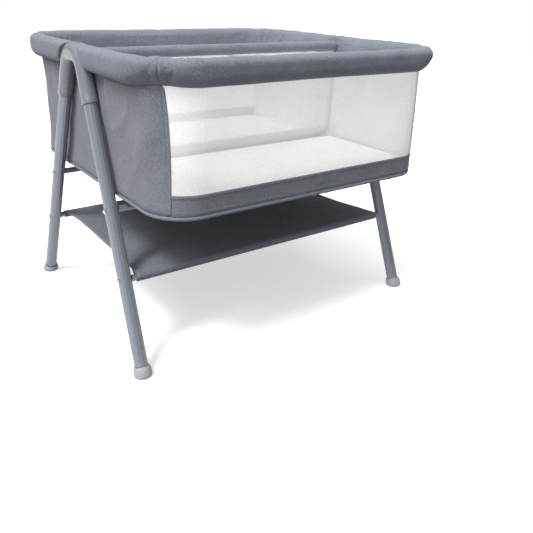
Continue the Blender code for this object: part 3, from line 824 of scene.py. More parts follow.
def make_rail_cover(name, which, sign, node, seed):
    """One padded length of the rail cover, sewn to its neighbours at the corners' middles."""
    half_a, half_b = (RAIL_X, RAIL_Y) if which == "x" else (RAIL_Y, RAIL_X)
    line, out, angles = side_line(half_a, half_b, RAIL_CORNER, spacing=0.0055)
    count = 36
    corner = smooth_step(np.abs(angles), 4.0, 38.0)
    ring = np.array([rail_section(share, count) for share in corner])
    plan = line[:, None] + out[:, None] * ring[..., :1]
    rings = with_square_ends(np.concatenate((plan, RAIL_Z + ring[..., 1:]), axis=-1))
    cover = tube_mesh(name, on_side(rings, which, sign), materials["rail_fabric"])
    held = np.zeros(len(cover.data.vertices))
    held[: count * 4] = 1.0
    held[count * (len(rings) - 4) :] = 1.0
    inflate(cover, pressure=3.0, cap=0.0022, grow=0.012, held=held)
    subdivide(cover)
    shape_rail_cover(cover, which, sign, half_a, half_b, seed)
    finish_piece(cover, "cradle", "rail_fabric", node)


def shape_rail_cover(cover, which, sign, half_a, half_b, seed):
    """Sewn corner seams, gathers inside the bends, soft waves, and the hollow behind an arch."""
    points = coordinates(cover)
    facing = normals(cover)
    if which == "x":
        a, b = sign * points[:, 0], sign * points[:, 1]
    else:
        a, b = sign * points[:, 1], -sign * points[:, 0]
    z = points[:, 2]
    centre_a = half_a - RAIL_CORNER
    centre_b = half_b - RAIL_CORNER
    over = np.maximum(np.abs(b) - centre_b, 0.0)
    angle = np.degrees(np.arctan2(over, np.maximum(a - centre_a, 1e-6)))
    radial = np.where(over > 0, np.hypot(a - centre_a, over) - RAIL_CORNER, a - half_a)
    around = np.arctan2(z - RAIL_Z, radial)
    inner = smooth_step(-radial, -0.006, 0.014)
    upper = smooth_step(z - RAIL_Z, 0.0, 0.026)
    at = np.where(b > 0, 1.0, -1.0)
    near = np.where(over > 0, SEAM_ANGLE - angle, 99.0)
    move = np.zeros(len(points))
    rng = np.random.default_rng(seed)
    for corner in (-1, 1):
        here = (at == corner) & (over > 0)
        for place in (6, 13, 19, 26, 32, 38):
            centre = place + rng.uniform(-2.0, 2.0) + rng.uniform(-7, 7) * np.sin(around)
            breadth = rng.uniform(1.0, 1.7)
            depth = rng.uniform(1.2, 2.6) * MM
            groove = bump_of(angle, centre, breadth) - 0.6 * bump_of(angle, centre + 2.6, 1.6)
            move -= here * depth * groove * (0.18 + 0.82 * inner) * (0.55 + 0.45 * upper)
        move -= here * SEAM_DEPTH * bump_of(near, 0.0, SEAM_SPREAD)
        move += here * 0.0004 * bump_of(near, 2.6, 1.3)
    along = b + 0.11 * np.radians(angle) * at
    girth = around * 0.022
    move += swell(along, girth, seed + 1, 0.00055, (0.05, 0.17))
    move += creases(
        along, girth, seed + 2, count=26, height=0.0011, length=0.030, width=0.006, tilt=(35, 80)
    )
    move -= 0.0010 * bump_of(z, RAIL_LOW[2] + 0.004, 0.0022) * (1 - inner)
    move *= 0.15 + 0.85 * smooth_step(z, RAIL_LOW[2], RAIL_LOW[2] + 0.022)
    slope = np.full(len(points), math.sqrt(0.5))
    lengthwise = on_side(np.column_stack((-slope, slope * at, 0 * at)), which, sign)
    share = (facing * lengthwise).sum(axis=1) * smooth_step(-near, -4.0, -1.5)
    facing -= SEAM_HOLD * share[:, None] * lengthwise
    points += facing * move[:, None]
    if which == "x":
        points[:, 0] = np.sign(points[:, 0]) * squeeze_beside_arch(points)
    reach = RAIL_HIGH + 0.0025
    points = np.clip(points, (-reach[0], -reach[1], RAIL_LOW[2] + 0.0002), reach)
    set_coordinates(cover, points)


def squeeze_beside_arch(points):
    """Distances from the middle plane, with the pad hugging the arch and thin behind it."""
    x = np.abs(points[:, 0])
    y = np.abs(points[:, 1])
    z = points[:, 2]
    rise = z - (ARCH_CROWN - ARCH_BEND)
    slant = math.atan(LEAN_Y)
    beside_bend = np.hypot(y, rise) - ARCH_BEND
    beside_leg = (y - FOOT_Y + LEAN_Y * z) * math.cos(slant)
    beyond = np.where(np.arctan2(rise, y) > slant, beside_bend, beside_leg)
    room = ARCH_RADIUS + 0.0004
    near = np.clip(beyond, 0.0, room)
    limit = side_x(z) - np.sqrt(room**2 - near**2)
    width = np.where(points[:, 1] < 0, 0.016, 0.005)
    share = np.clip((beyond - room) / width, 0.0, 1.0)
    full = np.sqrt(1.0 - (1.0 - share) ** 2)
    limit += (RAIL_HIGH[0] - limit) * full
    inner = RAIL_HIGH[0] - RAIL_WIDTH
    scale = np.where(x > inner, (limit - inner) / RAIL_WIDTH, 1.0)
    return inner + (x - inner) * scale


def make_rail():
    make_rail_cover("rail_cover_front_padded", "y", -1, "rail_pad_front", 11)
    make_rail_cover("rail_cover_rear_padded", "y", 1, "rail_pad_rear", 23)
    make_rail_cover("rail_cover_left_padded", "x", -1, "rail_cover_left", 37)
    make_rail_cover("rail_cover_right_padded", "x", 1, "rail_cover_right", 41)


# ---- basket


def wall_plan(z, inset=0.0):
    rise = np.clip((z - WALL_BOTTOM) / (WALL_TOP - WALL_BOTTOM), 0.0, 1.0) ** 3
    return (
        WALL_X + FLARE_X * rise - inset,
        WALL_Y + FLARE_Y * rise - inset,
        WALL_RADIUS + FLARE_RADIUS * rise - inset,
    )


def wall_grid(which, heights, inset, spacing=0.008):
    """Rows of points over one wall with the wall at +a, as (a, b, z), and their directions out."""
    rows = []
    outs = []
    counts = None
    for z in heights:
        *halves, radius = wall_plan(z, inset)
        if which == "y":
            halves.reverse()
        counts = counts or side_counts(halves[1], radius, spacing)
        points, out, _ = counted_side(*halves, radius, *counts)
        if which == "x":
            hold = 1.0 - smooth_step(np.abs(points[:, 1]), PINCH_Y, FREE_Y)
            points[:, 0] -= np.maximum(points[:, 0] - (PINCH_X - inset), 0.0) * hold
        rows.append(np.column_stack((points, np.full(len(points), z))))
        outs.append(np.column_stack((out, np.zeros(len(out)))))
    return np.array(rows), np.array(outs)


def edge_fade(grid, low, high, fade):
    """1 in the middle of a wall sheet, falling to 0 at its top, foot and ends."""
    z = grid[..., 2]
    b = grid[..., 1]
    reach = np.abs(b).max()
    level = smooth_step(z, low, low + fade) * (1 - smooth_step(z, high - fade, high))
    return level * (1 - smooth_step(np.abs(b), reach - 0.035, reach - 0.004))


def make_wall_sheet(name, node, which, sign, grid, slot, thickness):
    """Turns a wall's grid to its own side of the basket and makes the cloth there."""
    grid = on_side(grid, which, sign)
    sheet = sheet_mesh(name, grid, materials[slot], thickness)
    finish_piece(sheet, "cradle", slot, node)


def make_end_panel(side_name, side):
    """The grey end wall: one sheet round both corners, with a folded hem under the rail."""
    grid, out = wall_grid("x", np.linspace(WALL_BOTTOM, WALL_TOP + TUCK, 40), 0.0002)
    b, z = grid[..., 1], grid[..., 2]
    fade = edge_fade(grid, WALL_BOTTOM, WALL_TOP, 0.02)
    behind_arch = (1.0 - smooth_step(np.abs(b), 0.075, 0.13)) * smooth_step(z, 0.52, 0.6)
    quiet = 1.0 - 0.9 * behind_arch
    folds = creases(
        b, z, 5 + side, count=18, height=0.0032, length=0.11, width=0.017, tilt=(25, 65)
    )
    waves = 0.0008 + swell(b, z, 9 + side, 0.0008, (0.09, 0.24))
    hem = 0.0012 * smooth_step(z, WALL_TOP - 0.0085, WALL_TOP - 0.007)
    gather = creases(
        b, z, 51 + side, count=14, height=0.0016, length=0.030, width=0.006, tilt=(60, 88)
    )
    gather = gather * smooth_step(np.abs(b), 0.30, 0.36) * smooth_step(z, 0.60, 0.67)
    lift = (folds + waves) * fade * quiet + (hem + gather) * quiet
    grid = grid + out * lift[..., None]
    name = f"end_panel_{side_name}"
    make_wall_sheet(f"{name}_cloth", name, "x", side, grid, "panel_fabric", PANEL_CLOTH)


def make_lining(side_name, side):
    """The pale coated lining inside an end wall, with loose crinkles."""
    grid, out = wall_grid("x", np.linspace(WALL_BOTTOM + 0.001, WALL_TOP + TUCK, 44), 0.0022)
    b, z = grid[..., 1], grid[..., 2]
    fade = edge_fade(grid, WALL_BOTTOM, WALL_TOP, 0.015)
    folds = creases(
        b, z, 71 + side, count=26, height=0.0018, length=0.060, width=0.012, tilt=(20, 80)
    )
    waves = 0.0012 + swell(b, z, 73 + side, 0.0010, (0.07, 0.20))
    beside_strip = smooth_step(np.abs(b), 0.014, 0.04)
    grid = grid - out * ((folds + waves) * fade * beside_strip)[..., None]
    name = f"inner_lining_{side_name}"
    make_wall_sheet(f"{name}_cloth", name, "x", side, grid, "lining_fabric", LINING_CLOTH)


def make_window(end_name, end):
    """The see-through netting of a long side, a single layer a little slack between its seams."""
    heights = np.linspace(BAND_TOP + 0.0003, WALL_TOP + TUCK, 30)
    grid, out = wall_grid("y", heights, 0.0006, 0.010)
    b, z = grid[..., 1], grid[..., 2]
    slack = swell(b, z, 81 + end, 0.0003, (0.14, 0.40))
    folds = creases(
        b, z, 83 + end, count=8, height=0.0003, length=0.12, width=0.020, tilt=(5, 40)
    )
    grid = grid - out * ((slack + folds) * edge_fade(grid, BAND_TOP, WALL_TOP, 0.03))[..., None]
    name = f"mesh_window_{end_name}"
    make_wall_sheet(f"{name}_net", name, "y", end, grid, "mesh_fabric", 0.0)


def make_band(end_name, end):
    """The grey band along the foot of a long side, hemmed over the netting's lower edge."""
    grid, out = wall_grid("y", np.linspace(WALL_BOTTOM, BAND_TOP, 16), 0.0003, 0.007)
    b, z = grid[..., 1], grid[..., 2]
    folds = creases(
        b, z, 91 + end, count=30, height=0.0011, length=0.03, width=0.006, tilt=(30, 80)
    )
    hem = 0.0010 * smooth_step(z, BAND_TOP - 0.0085, BAND_TOP - 0.0070)
    roll = 0.0007 * bump_of(z, WALL_BOTTOM + 0.006, 0.0025)
    lift = folds * edge_fade(grid, WALL_BOTTOM, BAND_TOP, 0.012) + hem + roll
    grid = grid + out * lift[..., None]
    name = f"bottom_band_{end_name}"
    make_wall_sheet(f"{name}_cloth", name, "y", end, grid, "panel_fabric", PANEL_CLOTH)


def loop_line(half_x, half_y, radius, count, z):
    """Evenly spaced points round a rounded rectangle, with their outward directions."""
    line = []
    lean = []
    for which, sign in (("x", 1), ("y", 1), ("x", -1), ("y", -1)):
        halves = (half_x, half_y) if which == "x" else (half_y, half_x)
        points, out, _ = side_line(*halves, radius, 0.004)
        height = np.full(len(points), z)
        line.extend(on_side(np.column_stack((points, height)), which, sign)[:-1])
        lean.extend(on_side(np.column_stack((out, 0 * height)), which, sign)[:-1])
    line = np.array(line + line[:1])
    lean = np.array(lean + lean[:1])
    lengths = lengths_along(line)
    at = np.linspace(0, lengths[-1], count, endpoint=False)
    out = points_along(lean, lengths, at)
    return points_along(line, lengths, at), out / np.linalg.norm(out, axis=1, keepdims=True)


def loop_tube(name, line, out, radii, material, sides=12, flatten=1.0):
    """A closed cord following a level loop. radii is one radius for each point of the line."""
    turns = ring_turns(sides)[None, :, None]
    radii = radii[:, None, None]
    up = np.array([0, 0, 1.0]) * (np.sin(turns) * radii * flatten)
    rings = line[:, None, :] + out[:, None, :] * (np.cos(turns) * radii) + up
    return tube_mesh(name, rings, material, closed=True)


def make_piping():
    """The pale corded piping round the foot of the basket, and the stitching above it."""
    low, high = span("base_piping")
    radius = (high[2] - low[2]) / 2
    z = (high[2] + low[2]) / 2
    half_x, half_y = high[0] - radius, high[1] - radius
    corner = WALL_RADIUS - 0.0035
    line, out = loop_line(half_x, half_y, corner, 900, z)
    at = np.arange(len(line))
    radii = radius * (1.0 + 0.05 * np.sin(at * 0.9) + 0.03 * np.sin(at * 0.37 + 1.0))
    thread = materials["piping_fabric"]
    piping = loop_tube("base_piping_cord", line, out, radii, thread, flatten=1.05)
    finish_piece(piping, "cradle", "piping_fabric", "base_piping")
    line, out = loop_line(WALL_X + 0.0010, WALL_Y + 0.0010, WALL_RADIUS, 900, WALL_BOTTOM + 0.0085)
    line = np.concatenate((line, line[:1]))
    stitches("piping_stitching", line, "cradle", "piping_fabric", thread)


def make_hem_seams():
    """Topstitching along the hems: round the top of each band, and along each end wall."""
    thread = materials["piping_fabric"]
    for end_name, end in ENDS.items():
        points = side_line(WALL_Y + 0.0016, WALL_X + 0.0016, WALL_RADIUS, 0.004)[0]
        line = np.column_stack((points, np.full(len(points), BAND_TOP - 0.0042)))
        line = on_side(line, "y", end)
        stitches(f"band_stitching_{end_name}", line, "cradle", "panel_fabric", thread)
        for side_name, side in SIDES.items():
            make_corner_tape(end_name, end, side_name, side)
    for side_name, side in SIDES.items():
        rows, out = wall_grid("x", [WALL_TOP - 0.0050], 0.0)
        line = on_side(rows[0] + out[0] * 0.0022, "x", side)
        stitches(f"panel_stitching_{side_name}", line, "cradle", "panel_fabric", thread)


def make_corner_tape(end_name, end, side_name, side):
    """The bound seam where a window meets an end wall, at the middle of a corner."""
    heights = np.linspace(WALL_BOTTOM + 0.004, WALL_TOP - 0.0005, 60)
    half_x, half_y, radius = wall_plan(heights)
    slope = math.sqrt(0.5)
    lean = (radius + 0.0004) * slope
    line = (side * (half_x - radius + lean), end * (half_y - radius + lean), heights)
    out = np.array((side * slope, end * slope, 0.0))
    across = np.array((-out[1], out[0], 0.0))
    turns = ring_turns(10)[None, :, None]
    width, proud = 0.0042, 0.0011
    ripple = 1.0 + 0.10 * np.sin(heights * 900.0)[:, None, None]
    section = across * (np.cos(turns) * width) + out * (np.sin(turns) * proud * ripple)
    rings = np.stack(line, axis=1)[:, None, :] + section
    tape = tube_mesh(f"corner_seam_{end_name}_{side_name}", rings, materials["panel_fabric"])
    finish_piece(tape, "cradle", "panel_fabric")


def make_strips():
    """Hook-and-loop strips down the middle of the end walls, gathered at the edges."""
    for side_name, side in SIDES.items():
        low, high = span(f"divider_strip_{side_name}")
        half = (high[1] - low[1]) / 2
        face = min(abs(low[0]), abs(high[0]))
        z, w = np.meshgrid(np.linspace(low[2], high[2], 70), np.linspace(-1, 1, 9), indexing="ij")
        x = np.minimum(wall_plan(z, 0.0037)[0], PINCH_X - 0.0037)
        x = x - 0.0005 * np.cos(w * 1.5) - 0.0009 * np.abs(w) ** 3 * np.sin(z * 520)
        ragged = 0.0012 * np.sin(z * 700) + 0.0008 * np.sin(z * 1310 + 1)
        y = w * (half - 0.0012 + ragged * np.abs(w))
        grid = np.stack((side * np.maximum(x, face - 0.0012), y, z), axis=-1)
        cloth = materials["strip_fabric"]
        strip = sheet_mesh(f"hook_strip_{side_name}", grid, cloth, STRIP_CLOTH, 0.0)
        finish_piece(strip, "cradle", "strip_fabric", f"divider_strip_{side_name}")


# ---- mattresses


def make_mattress(end_name, end, seed):
    """A foam mattress in a knitted cover: simulated swelling, then the welt and side seam."""
    node = f"mattress_{end_name}"
    box_low, box_high = span(node)
    inset = 0.0035
    low, high = box_low + (inset, inset, 0.0006), box_high - (inset, inset, 0.0028)
    middle = (low + high) / 2
    half = (high - low) / 2
    outline = mattress_outline(half, end, 10)
    count = len(outline)
    points = [(x + middle[0], y + middle[1], z) for z in (low[2], high[2]) for x, y in outline]
    faces = grid_faces(2, count, wrap_columns=True) + [range(count), range(count, 2 * count)]
    mattress = add_mesh(f"{node}_padded", points, faces, materials["mattress_fabric"])
    fix_normals(mattress)
    bevel = mattress.modifiers.new("edge", "BEVEL")
    bevel.width = 0.0065
    bevel.segments = 3
    bevel.limit_method = "ANGLE"
    bevel.angle_limit = math.radians(60)
    remesh = mattress.modifiers.new("skin", "REMESH")
    remesh.mode = "VOXEL"
    remesh.voxel_size = 0.006
    apply_modifiers(mattress)
    inflate(mattress, pressure=4.0, cap=0.0035)
    subdivide(mattress)
    points = coordinates(mattress)
    x, y, z = points[:, 0] - middle[0], points[:, 1] - middle[1], points[:, 2]
    edge = np.minimum(half[0] - np.abs(x), half[1] - np.abs(y))
    top = smooth_step(z, low[2] + 0.012, high[2] - 0.002)
    crown = 0.0030 * smooth_step(edge, 0.0, 0.09) * top
    dents = swell(x, y, seed, 0.0006, (0.08, 0.22)) * top
    tucks = creases(
        x, y, seed + 1, count=16, height=0.0014, length=0.06, width=0.010, tilt=(5, 60)
    )
    points[:, 2] += crown + dents - tucks * top
    lowest = (box_low[0] - 0.0005, box_low[1] - 0.0005, low[2])
    points = np.clip(points, lowest, box_high + (0.0005, 0.0005, 0.0035))
    set_coordinates(mattress, points)
    finish_piece(mattress, node, "mattress_fabric", node)
    make_welt(end_name, end, middle, half, node)


def mattress_outline(half, end, steps, grow=0.0):
    """One mattress's plan about its own middle: wide corners outside, small ones at the divider."""
    points = []
    for corner, (sign_x, sign_y) in enumerate(((1, 1), (-1, 1), (-1, -1), (1, -1))):
        radius = 0.096 if (sign_y > 0) == (end > 0) else 0.014
        for step in range(steps + 1):
            turn = math.radians(90 * (corner + step / steps))
            x = sign_x * (half[0] - radius) + (radius + grow) * math.cos(turn)
            y = sign_y * (half[1] - radius) + (radius + grow) * math.sin(turn)
            points.append((x, y))
    return points


def make_welt(end_name, end, middle, half, body):
    """The thin sewn welt round a mattress, between its top and its border."""
    outline = np.array(mattress_outline(half, end, 24, grow=0.0010))
    flat = spaced_round(np.concatenate((outline, outline[:1])), 460)
    tangent = np.roll(flat, -1, axis=0) - np.roll(flat, 1, axis=0)
    out = np.column_stack((tangent[:, 1], -tangent[:, 0], np.zeros(len(flat))))
    out /= np.linalg.norm(out, axis=1, keepdims=True)
    line = np.column_stack((flat + middle[:2], np.full(len(flat), BORDER_TOP)))
    radii = 0.0017 * (1 + 0.08 * np.sin(np.arange(len(flat)) * 0.8))
    welt = loop_tube(f"mattress_welt_{end_name}", line, out, radii, materials["mattress_fabric"], 8)
    finish_piece(welt, body, "mattress_fabric")


# ---- divider


def make_divider():
    low, high = span("divider_bar_cover")
    radius = (high[2] - low[2]) / 2
    z = (high[2] + low[2]) / 2
    stations = np.linspace(low[0], high[0], 300)
    u, turn = np.meshgrid(stations, ring_turns(36), indexing="ij")
    girth = turn * radius
    ends = np.minimum(u - low[0], high[0] - u)
    near = 1 - smooth_step(ends, 0.0, 0.05)
    move = swell(u, girth, 101, 0.0004, (0.03, 0.12))
    move += creases(u, girth, 103, count=60, height=0.0012, length=0.02, width=0.004)
    move += near * 0.0012 * np.sin(turn * 9 + 3 * np.sin(u * 60))
    move -= 0.0013 * bump_of(turn, 1.5 * math.pi, 0.10)
    close = smooth_step(ends, -0.004, 0.008)
    r = (radius - 0.0015 + move) * (0.72 + 0.28 * close)
    r = np.minimum(r, radius + 0.0015)
    rings = np.stack((u, r * np.cos(turn), z + r * np.sin(turn)), axis=-1)
    cover = tube_mesh("divider_bar_padded", rings, materials["rail_fabric"])
    finish_piece(cover, "divider", "rail_fabric", "divider_bar_cover")
    stations = np.linspace(low[0] + 0.02, high[0] - 0.02, 50)
    line = [(x, -0.0008, z - radius - 0.0002) for x in stations]
    stitches("divider_stitching", line, "divider", "rail_fabric", materials["piping_fabric"])

    make_divider_sheet("divider_net", "divider_mesh", 0.006, "mesh_fabric", 107)
    make_divider_sheet(
        "divider_foot_cloth", "divider_foot_band", 0.004, "lining_fabric", 109, FOOT_BAND_CLOTH
    )


def make_divider_sheet(name, node, spacing, slot, seed, thickness=0.0):
    """A sheet hanging across the basket, with soft upright folds that fade at its ends."""
    low, high = (corner[2] for corner in span(node))
    rows = max(6, round((high - low) / spacing))
    heights = np.linspace(low, high, rows)
    share = np.linspace(-1, 1, 130)
    half = np.minimum(wall_plan(heights, 0.0055)[0], PINCH_X - 0.0055)
    x = half[:, None] * share[None, :]
    z = np.repeat(heights[:, None], len(share), axis=1)
    fade = 1 - smooth_step(np.abs(share), 0.93, 1.0)[None, :]
    drop = smooth_step(high - z, 0.0, 0.05) if thickness == 0.0 else np.ones_like(z)
    y = swell(x, z * 0.35, seed, 0.0026, (0.07, 0.25))
    y += creases(x, z, seed + 1, count=12, height=0.003, length=0.10, width=0.012)
    y = y * fade * (0.25 + 0.75 * drop) - 0.0008
    if thickness:
        y = y * 0.35
    grid = np.stack((x, y, z), axis=-1)
    sheet = sheet_mesh(name, grid, materials[slot], thickness, 0.0)
    finish_piece(sheet, "divider", slot, node)


# ---- shelf


SHELF_HALF = span("shelf_sling")[1][0] + 0.005
SLEEVE_RADIUS = TUBE_RADIUS + 0.0017
SLEEVE_SEAM = 0.030
SHELF_SAG = 0.011
EDGE_BOW = 0.018


def shelf_half_width(y):
    """The shelf's half width, which bows in between its tubes."""
    share = np.clip(np.abs(y) / TUBE_Y, 0.0, 1.0)
    return SHELF_HALF - EDGE_BOW * (1 - share**2)


def shelf_height(x, y):
    """The height of the shelf's cloth: tight over the tubes, sagging between them."""
    share = np.clip(1 - (y / TUBE_Y) ** 2, 0.0, 1.0)
    sag = SHELF_SAG * share**0.8 * (0.75 + 0.25 * (1 - (x / SHELF_HALF) ** 2))
    size = (SHELF_HALF, TUBE_Y)
    folds = creases(
        x, y, 121, count=14, height=0.0036, length=0.14, width=0.024, tilt=(25, 75), spread=size
    )
    folds += swell(x, y, 123, 0.0012, (0.12, 0.3))
    quiet = smooth_step(TUBE_Y - np.abs(y), 0.004, 0.06)
    return TUBE_Z + SLEEVE_RADIUS - sag + folds * quiet


def make_shelf():
    """The sling: a sleeve round each lower tube, sewn under the sheet between them."""
    share = np.linspace(-1, 1, 110)
    rows = []
    for t in np.linspace(1, 0, 6, endpoint=False):
        y = np.full_like(share, -TUBE_Y + SLEEVE_SEAM * t)
        x = share * shelf_half_width(y)
        bottom = TUBE_Z - SLEEVE_RADIUS
        z = bottom + (shelf_height(x, y) - 0.0022 - bottom) * t**0.8
        rows.append(np.stack((x, y, z), axis=1))
    for turn in np.radians(np.linspace(270, 90, 14)):
        x = share * SHELF_HALF
        pucker = 0.0005 * np.sin(x * 190 + 2 * math.sin(turn * 2))
        y = -TUBE_Y + SLEEVE_RADIUS * math.cos(turn) - pucker
        z = np.full_like(share, TUBE_Z + SLEEVE_RADIUS * math.sin(turn))
        rows.append(np.stack((x, y, z), axis=1))
    sleeve = rows[:]
    for t in np.linspace(-1, 1, 62)[1:-1]:
        y = np.full_like(share, t * TUBE_Y)
        x = share * shelf_half_width(y)
        rows.append(np.stack((x, y, shelf_height(x, y)), axis=1))
    grid = np.array(rows + [row * (1, -1, 1) for row in reversed(sleeve)])
    shelf = sheet_mesh("shelf_sling_cloth", grid, materials["shelf_fabric"], SHELF_CLOTH, 0.0)
    apply_modifiers(shelf)
    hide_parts("shelf_sling")
    blend_shelf(shelf)
    for side_name, side in SIDES.items():
        make_shelf_binding(side_name, side)
    for end_name, end in ENDS.items():
        make_sleeve_tape(end_name, end)


def blend_shelf(obj):
    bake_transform(obj)


def make_shelf_binding(side_name, side):
    """Bias binding folded over a bowed side edge of the shelf."""
    y = np.linspace(-TUBE_Y + 0.006, TUBE_Y - 0.006, 120)
    x = shelf_half_width(y) - 0.0050
    z = shelf_height(side * x, y)
    slope = np.gradient(z, y)[:, None]
    ripple = 1 + 0.08 * np.sin(y * 500)[:, None]
    turns = ring_turns(10)[None, :]
    rings = (
        side * (x[:, None] + np.cos(turns) * 0.0062),
        y[:, None] - slope * np.sin(turns) * 0.0016,
        z[:, None] + np.sin(turns) * 0.0017 * ripple,
    )
    rings = np.stack(rings, axis=-1)
    binding = tube_mesh(f"shelf_binding_{side_name}", rings, materials["piping_fabric"])
    blend_shelf(binding)


def make_sleeve_tape(end_name, end):
    """The narrow tape sewn along the outer lower side of a shelf sleeve."""
    along = np.linspace(-SHELF_HALF + 0.002, SHELF_HALF - 0.002, 150)
    turn, x = np.meshgrid(np.radians(np.linspace(-92, -28, 8)), along, indexing="ij")
    radius = SLEEVE_RADIUS + 0.0010
    y = end * (TUBE_Y + radius * np.cos(turn))
    z = TUBE_Z + radius * np.sin(turn) + 0.0002 * np.sin(x * 400)
    grid = np.stack((x, y, z), axis=-1)
    cloth = materials["piping_fabric"]
    tape = sheet_mesh(f"shelf_sleeve_tape_{end_name}", grid, cloth, TAPE_CLOTH, 0.0)
    apply_modifiers(tape)
    finish_piece(tape, f"{end_name}_frame", "piping_fabric")


# ---- stands


def side_x(z):
    return FOOT_X + LEAN_X * z


def leg_point(side, end, z):
    return np.array((side * side_x(z), end * (FOOT_Y - LEAN_Y * z), z))


def leg_line(side, end):
    """Where a leg's middle line meets the floor, and its direction up."""
    foot = leg_point(side, end, 0.0)
    axis = leg_point(side, end, 1.0) - foot
    return foot, axis / np.linalg.norm(axis)


def ring_round(centre, forward, radii, turns):
    """A ring of points about centre, square to forward, that starts on the +X side."""
    right = np.array((1.0, 0.0, 0.0)) - forward * forward[0]
    right /= np.linalg.norm(right)
    up = np.cross(forward, right)
    return centre + np.outer(radii * np.cos(turns), right) + np.outer(radii * np.sin(turns), up)


def make_leg(side_name, side, end_name, end):
    """A drawn steel leg with fine flutes down its length."""
    node = f"leg_{end_name}_{side_name}"
    turns = ring_turns(144)
    flutes = np.zeros_like(turns)
    for place in ring_turns(FLUTES) + math.pi / FLUTES:
        flutes += bump_of(np.angle(np.exp(1j * (turns - place))), 0.0, FLUTE_SPREAD)
    radii = LEG_RADIUS - FLUTE_DEPTH * flutes
    foot, upright = leg_line(side, end)
    start = foot + upright * LEG_START
    stop = leg_point(side, end, LEG_TOP)
    reach = np.linalg.norm(stop - start)
    stations = (0.0, 0.0004, *np.linspace(0.02, reach - 0.02, 8), reach - 0.0004, reach)
    rings = []
    for number, distance in enumerate(stations):
        trim = 0.0006 if number in (0, len(stations) - 1) else 0.0
        rings.append(ring_round(start + upright * distance, upright, radii - trim, turns))
    leg = tube_mesh(f"{node}_tube", rings, materials["painted_steel"])
    finish_piece(leg, f"{end_name}_frame", "painted_steel", node)


def make_foot(side_name, side, end_name, end):
    """A flared plastic foot with a rounded lip and a shallow ring, level on the floor."""
    node = f"foot_{end_name}_{side_name}"
    foot, upright = leg_line(side, end)
    bore = LEG_RADIUS + 0.0004
    inside = ((0.0005, 0.0096), (bore - 0.001, 0.0096), (bore, 0.0104), (bore, 0.0218))
    rim = ((0.0005, 0.0225), (0.0018, 0.0226), (0.0026, 0.0218), (0.0027, 0.0203), (0.0032, 0.0192))
    flare = ((0.0212, 0.0160), (0.0219, 0.0120), (0.0222, 0.0080), (0.0222, 0.0030))
    lip = ((0.0219, 0.0005), (0.0210, -0.0022), (0.0190, -0.0044), (0.0160, -0.0060))
    rim = tuple((bore + proud, up) for proud, up in rim)
    profile = (*inside, *rim, *flare, *lip, (0.0005, -0.0062))
    turns = ring_turns(56)
    rings = [ring_round(foot + upright * up, upright, radius, turns) for radius, up in profile]
    cup = tube_mesh(f"{node}_cup", rings, materials["foot_plastic"])
    points = coordinates(cup)
    points[:, 2] = np.maximum(points[:, 2], span(node)[0][2])
    set_coordinates(cup, points)
    finish_piece(cup, f"{end_name}_frame", "foot_plastic", node)


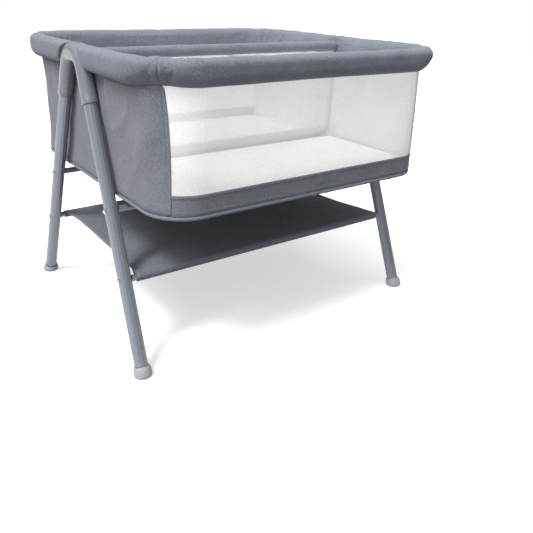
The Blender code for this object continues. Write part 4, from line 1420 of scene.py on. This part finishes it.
def make_arch(side_name, side):
    """The moulded arch: sockets for two legs, joined over the rail by a deeper, flatter crown."""
    node = f"arch_{side_name}"
    slant = math.atan(LEAN_Y)
    centre_z = ARCH_CROWN - ARCH_BEND
    turns = ring_turns(48)
    rings = []

    def add_ring(centre, forward, size, crown=0.0):
        """crown 0 is round; towards 1 the section grows under the arch and its sides flatten."""
        forward = forward / np.linalg.norm(forward)
        outward = np.array((side, 0.0, 0.0))
        outward = outward - forward * np.dot(outward, forward)
        outward /= np.linalg.norm(outward)
        up = np.cross(outward, forward) * side
        if np.dot(up, centre - np.array((centre[0], 0.0, centre_z))) < 0:
            up = -up
        power = np.where(np.sin(turns) < 0, 1.0 - 0.52 * crown, 1.0 - 0.30 * crown)
        across = np.sign(np.cos(turns)) * np.abs(np.cos(turns)) ** power
        tall = np.sign(np.sin(turns)) * np.abs(np.sin(turns)) ** power
        depth = np.where(tall < 0, 1.0 + 0.44 * crown, 1.0)
        rings.append(centre + np.outer(size * across, outward) + np.outer(size * tall * depth, up))

    def socket(end, order):
        """The rim and inner wall of one leg's socket, from the inside out or the other way."""
        axis = leg_point(side, end, 1.0) - leg_point(side, end, 0.0)
        levels = (
            (SOCKET_TOP, SOCKET_RADIUS),
            (COLLAR_Z + 0.0012, SOCKET_RADIUS),
            (COLLAR_Z, SOCKET_RADIUS + 0.0006),
            (COLLAR_Z, ARCH_RADIUS - 0.0004),
            *((COLLAR_Z + up, ARCH_RADIUS + 0.0004) for up in (0.0012, 0.0075)),
            *((COLLAR_Z + up, ARCH_RADIUS) for up in (0.0090, 0.0300)),
        )
        forward = axis if end < 0 else -axis
        for z, size in levels[::order]:
            add_ring(leg_point(side, end, z), forward, size)

    socket(-1, 1)
    steps = 36
    sweep = math.pi - 2 * slant
    for step in range(steps + 1):
        angle = math.pi - slant - sweep * step / steps
        z = centre_z + ARCH_BEND * math.sin(angle)
        centre = np.array((side * side_x(z), ARCH_BEND * math.cos(angle), z))
        forward = np.array((0.0, math.sin(angle), -math.cos(angle)))
        crown = float(np.exp(-(((angle - math.pi / 2) / 0.72) ** 2)))
        add_ring(centre, forward, ARCH_RADIUS, crown)
    socket(1, -1)
    arch = tube_mesh(f"{node}_moulding", rings, materials["arch_plastic"])
    finish_piece(arch, "cradle", "arch_plastic", node)


def make_stands():
    for side_name, side in SIDES.items():
        make_arch(side_name, side)
        for end_name, end in ENDS.items():
            make_leg(side_name, side, end_name, end)
            make_foot(side_name, side, end_name, end)


# ---- the parts that stay as they are


def finish_nodes():
    """Gives every CAD node that still shows its own finish."""
    starts = {
        "rail_tube": "bare_steel",
        "bracket_screw": "bare_steel",
        "rail_bracket": "bracket_plastic",
        "foot_rivet": "bare_steel",
        "bolt_": "bare_steel",
        "lower_tube": "painted_steel",
        "upper_tube": "painted_steel",
        "base_board": "board",
        "base_floor": "base_fabric",
        "divider_bar": "bare_steel",
    }
    for name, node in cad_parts.items():
        for start, slot in starts.items():
            if name.startswith(start) and not node.hide_render:
                for number in range(len(node.material_slots)):
                    node.material_slots[number].material = materials[slot]


make_camera()
make_stage()
make_rail()
for name, sign in SIDES.items():
    make_end_panel(name, sign)
    make_lining(name, sign)
for name, sign in ENDS.items():
    make_window(name, sign)
    make_band(name, sign)
make_piping()
make_hem_seams()
make_strips()
make_mattress("front", -1, 131)
make_mattress("rear", 1, 141)
make_divider()
make_shelf()
make_stands()
finish_nodes()
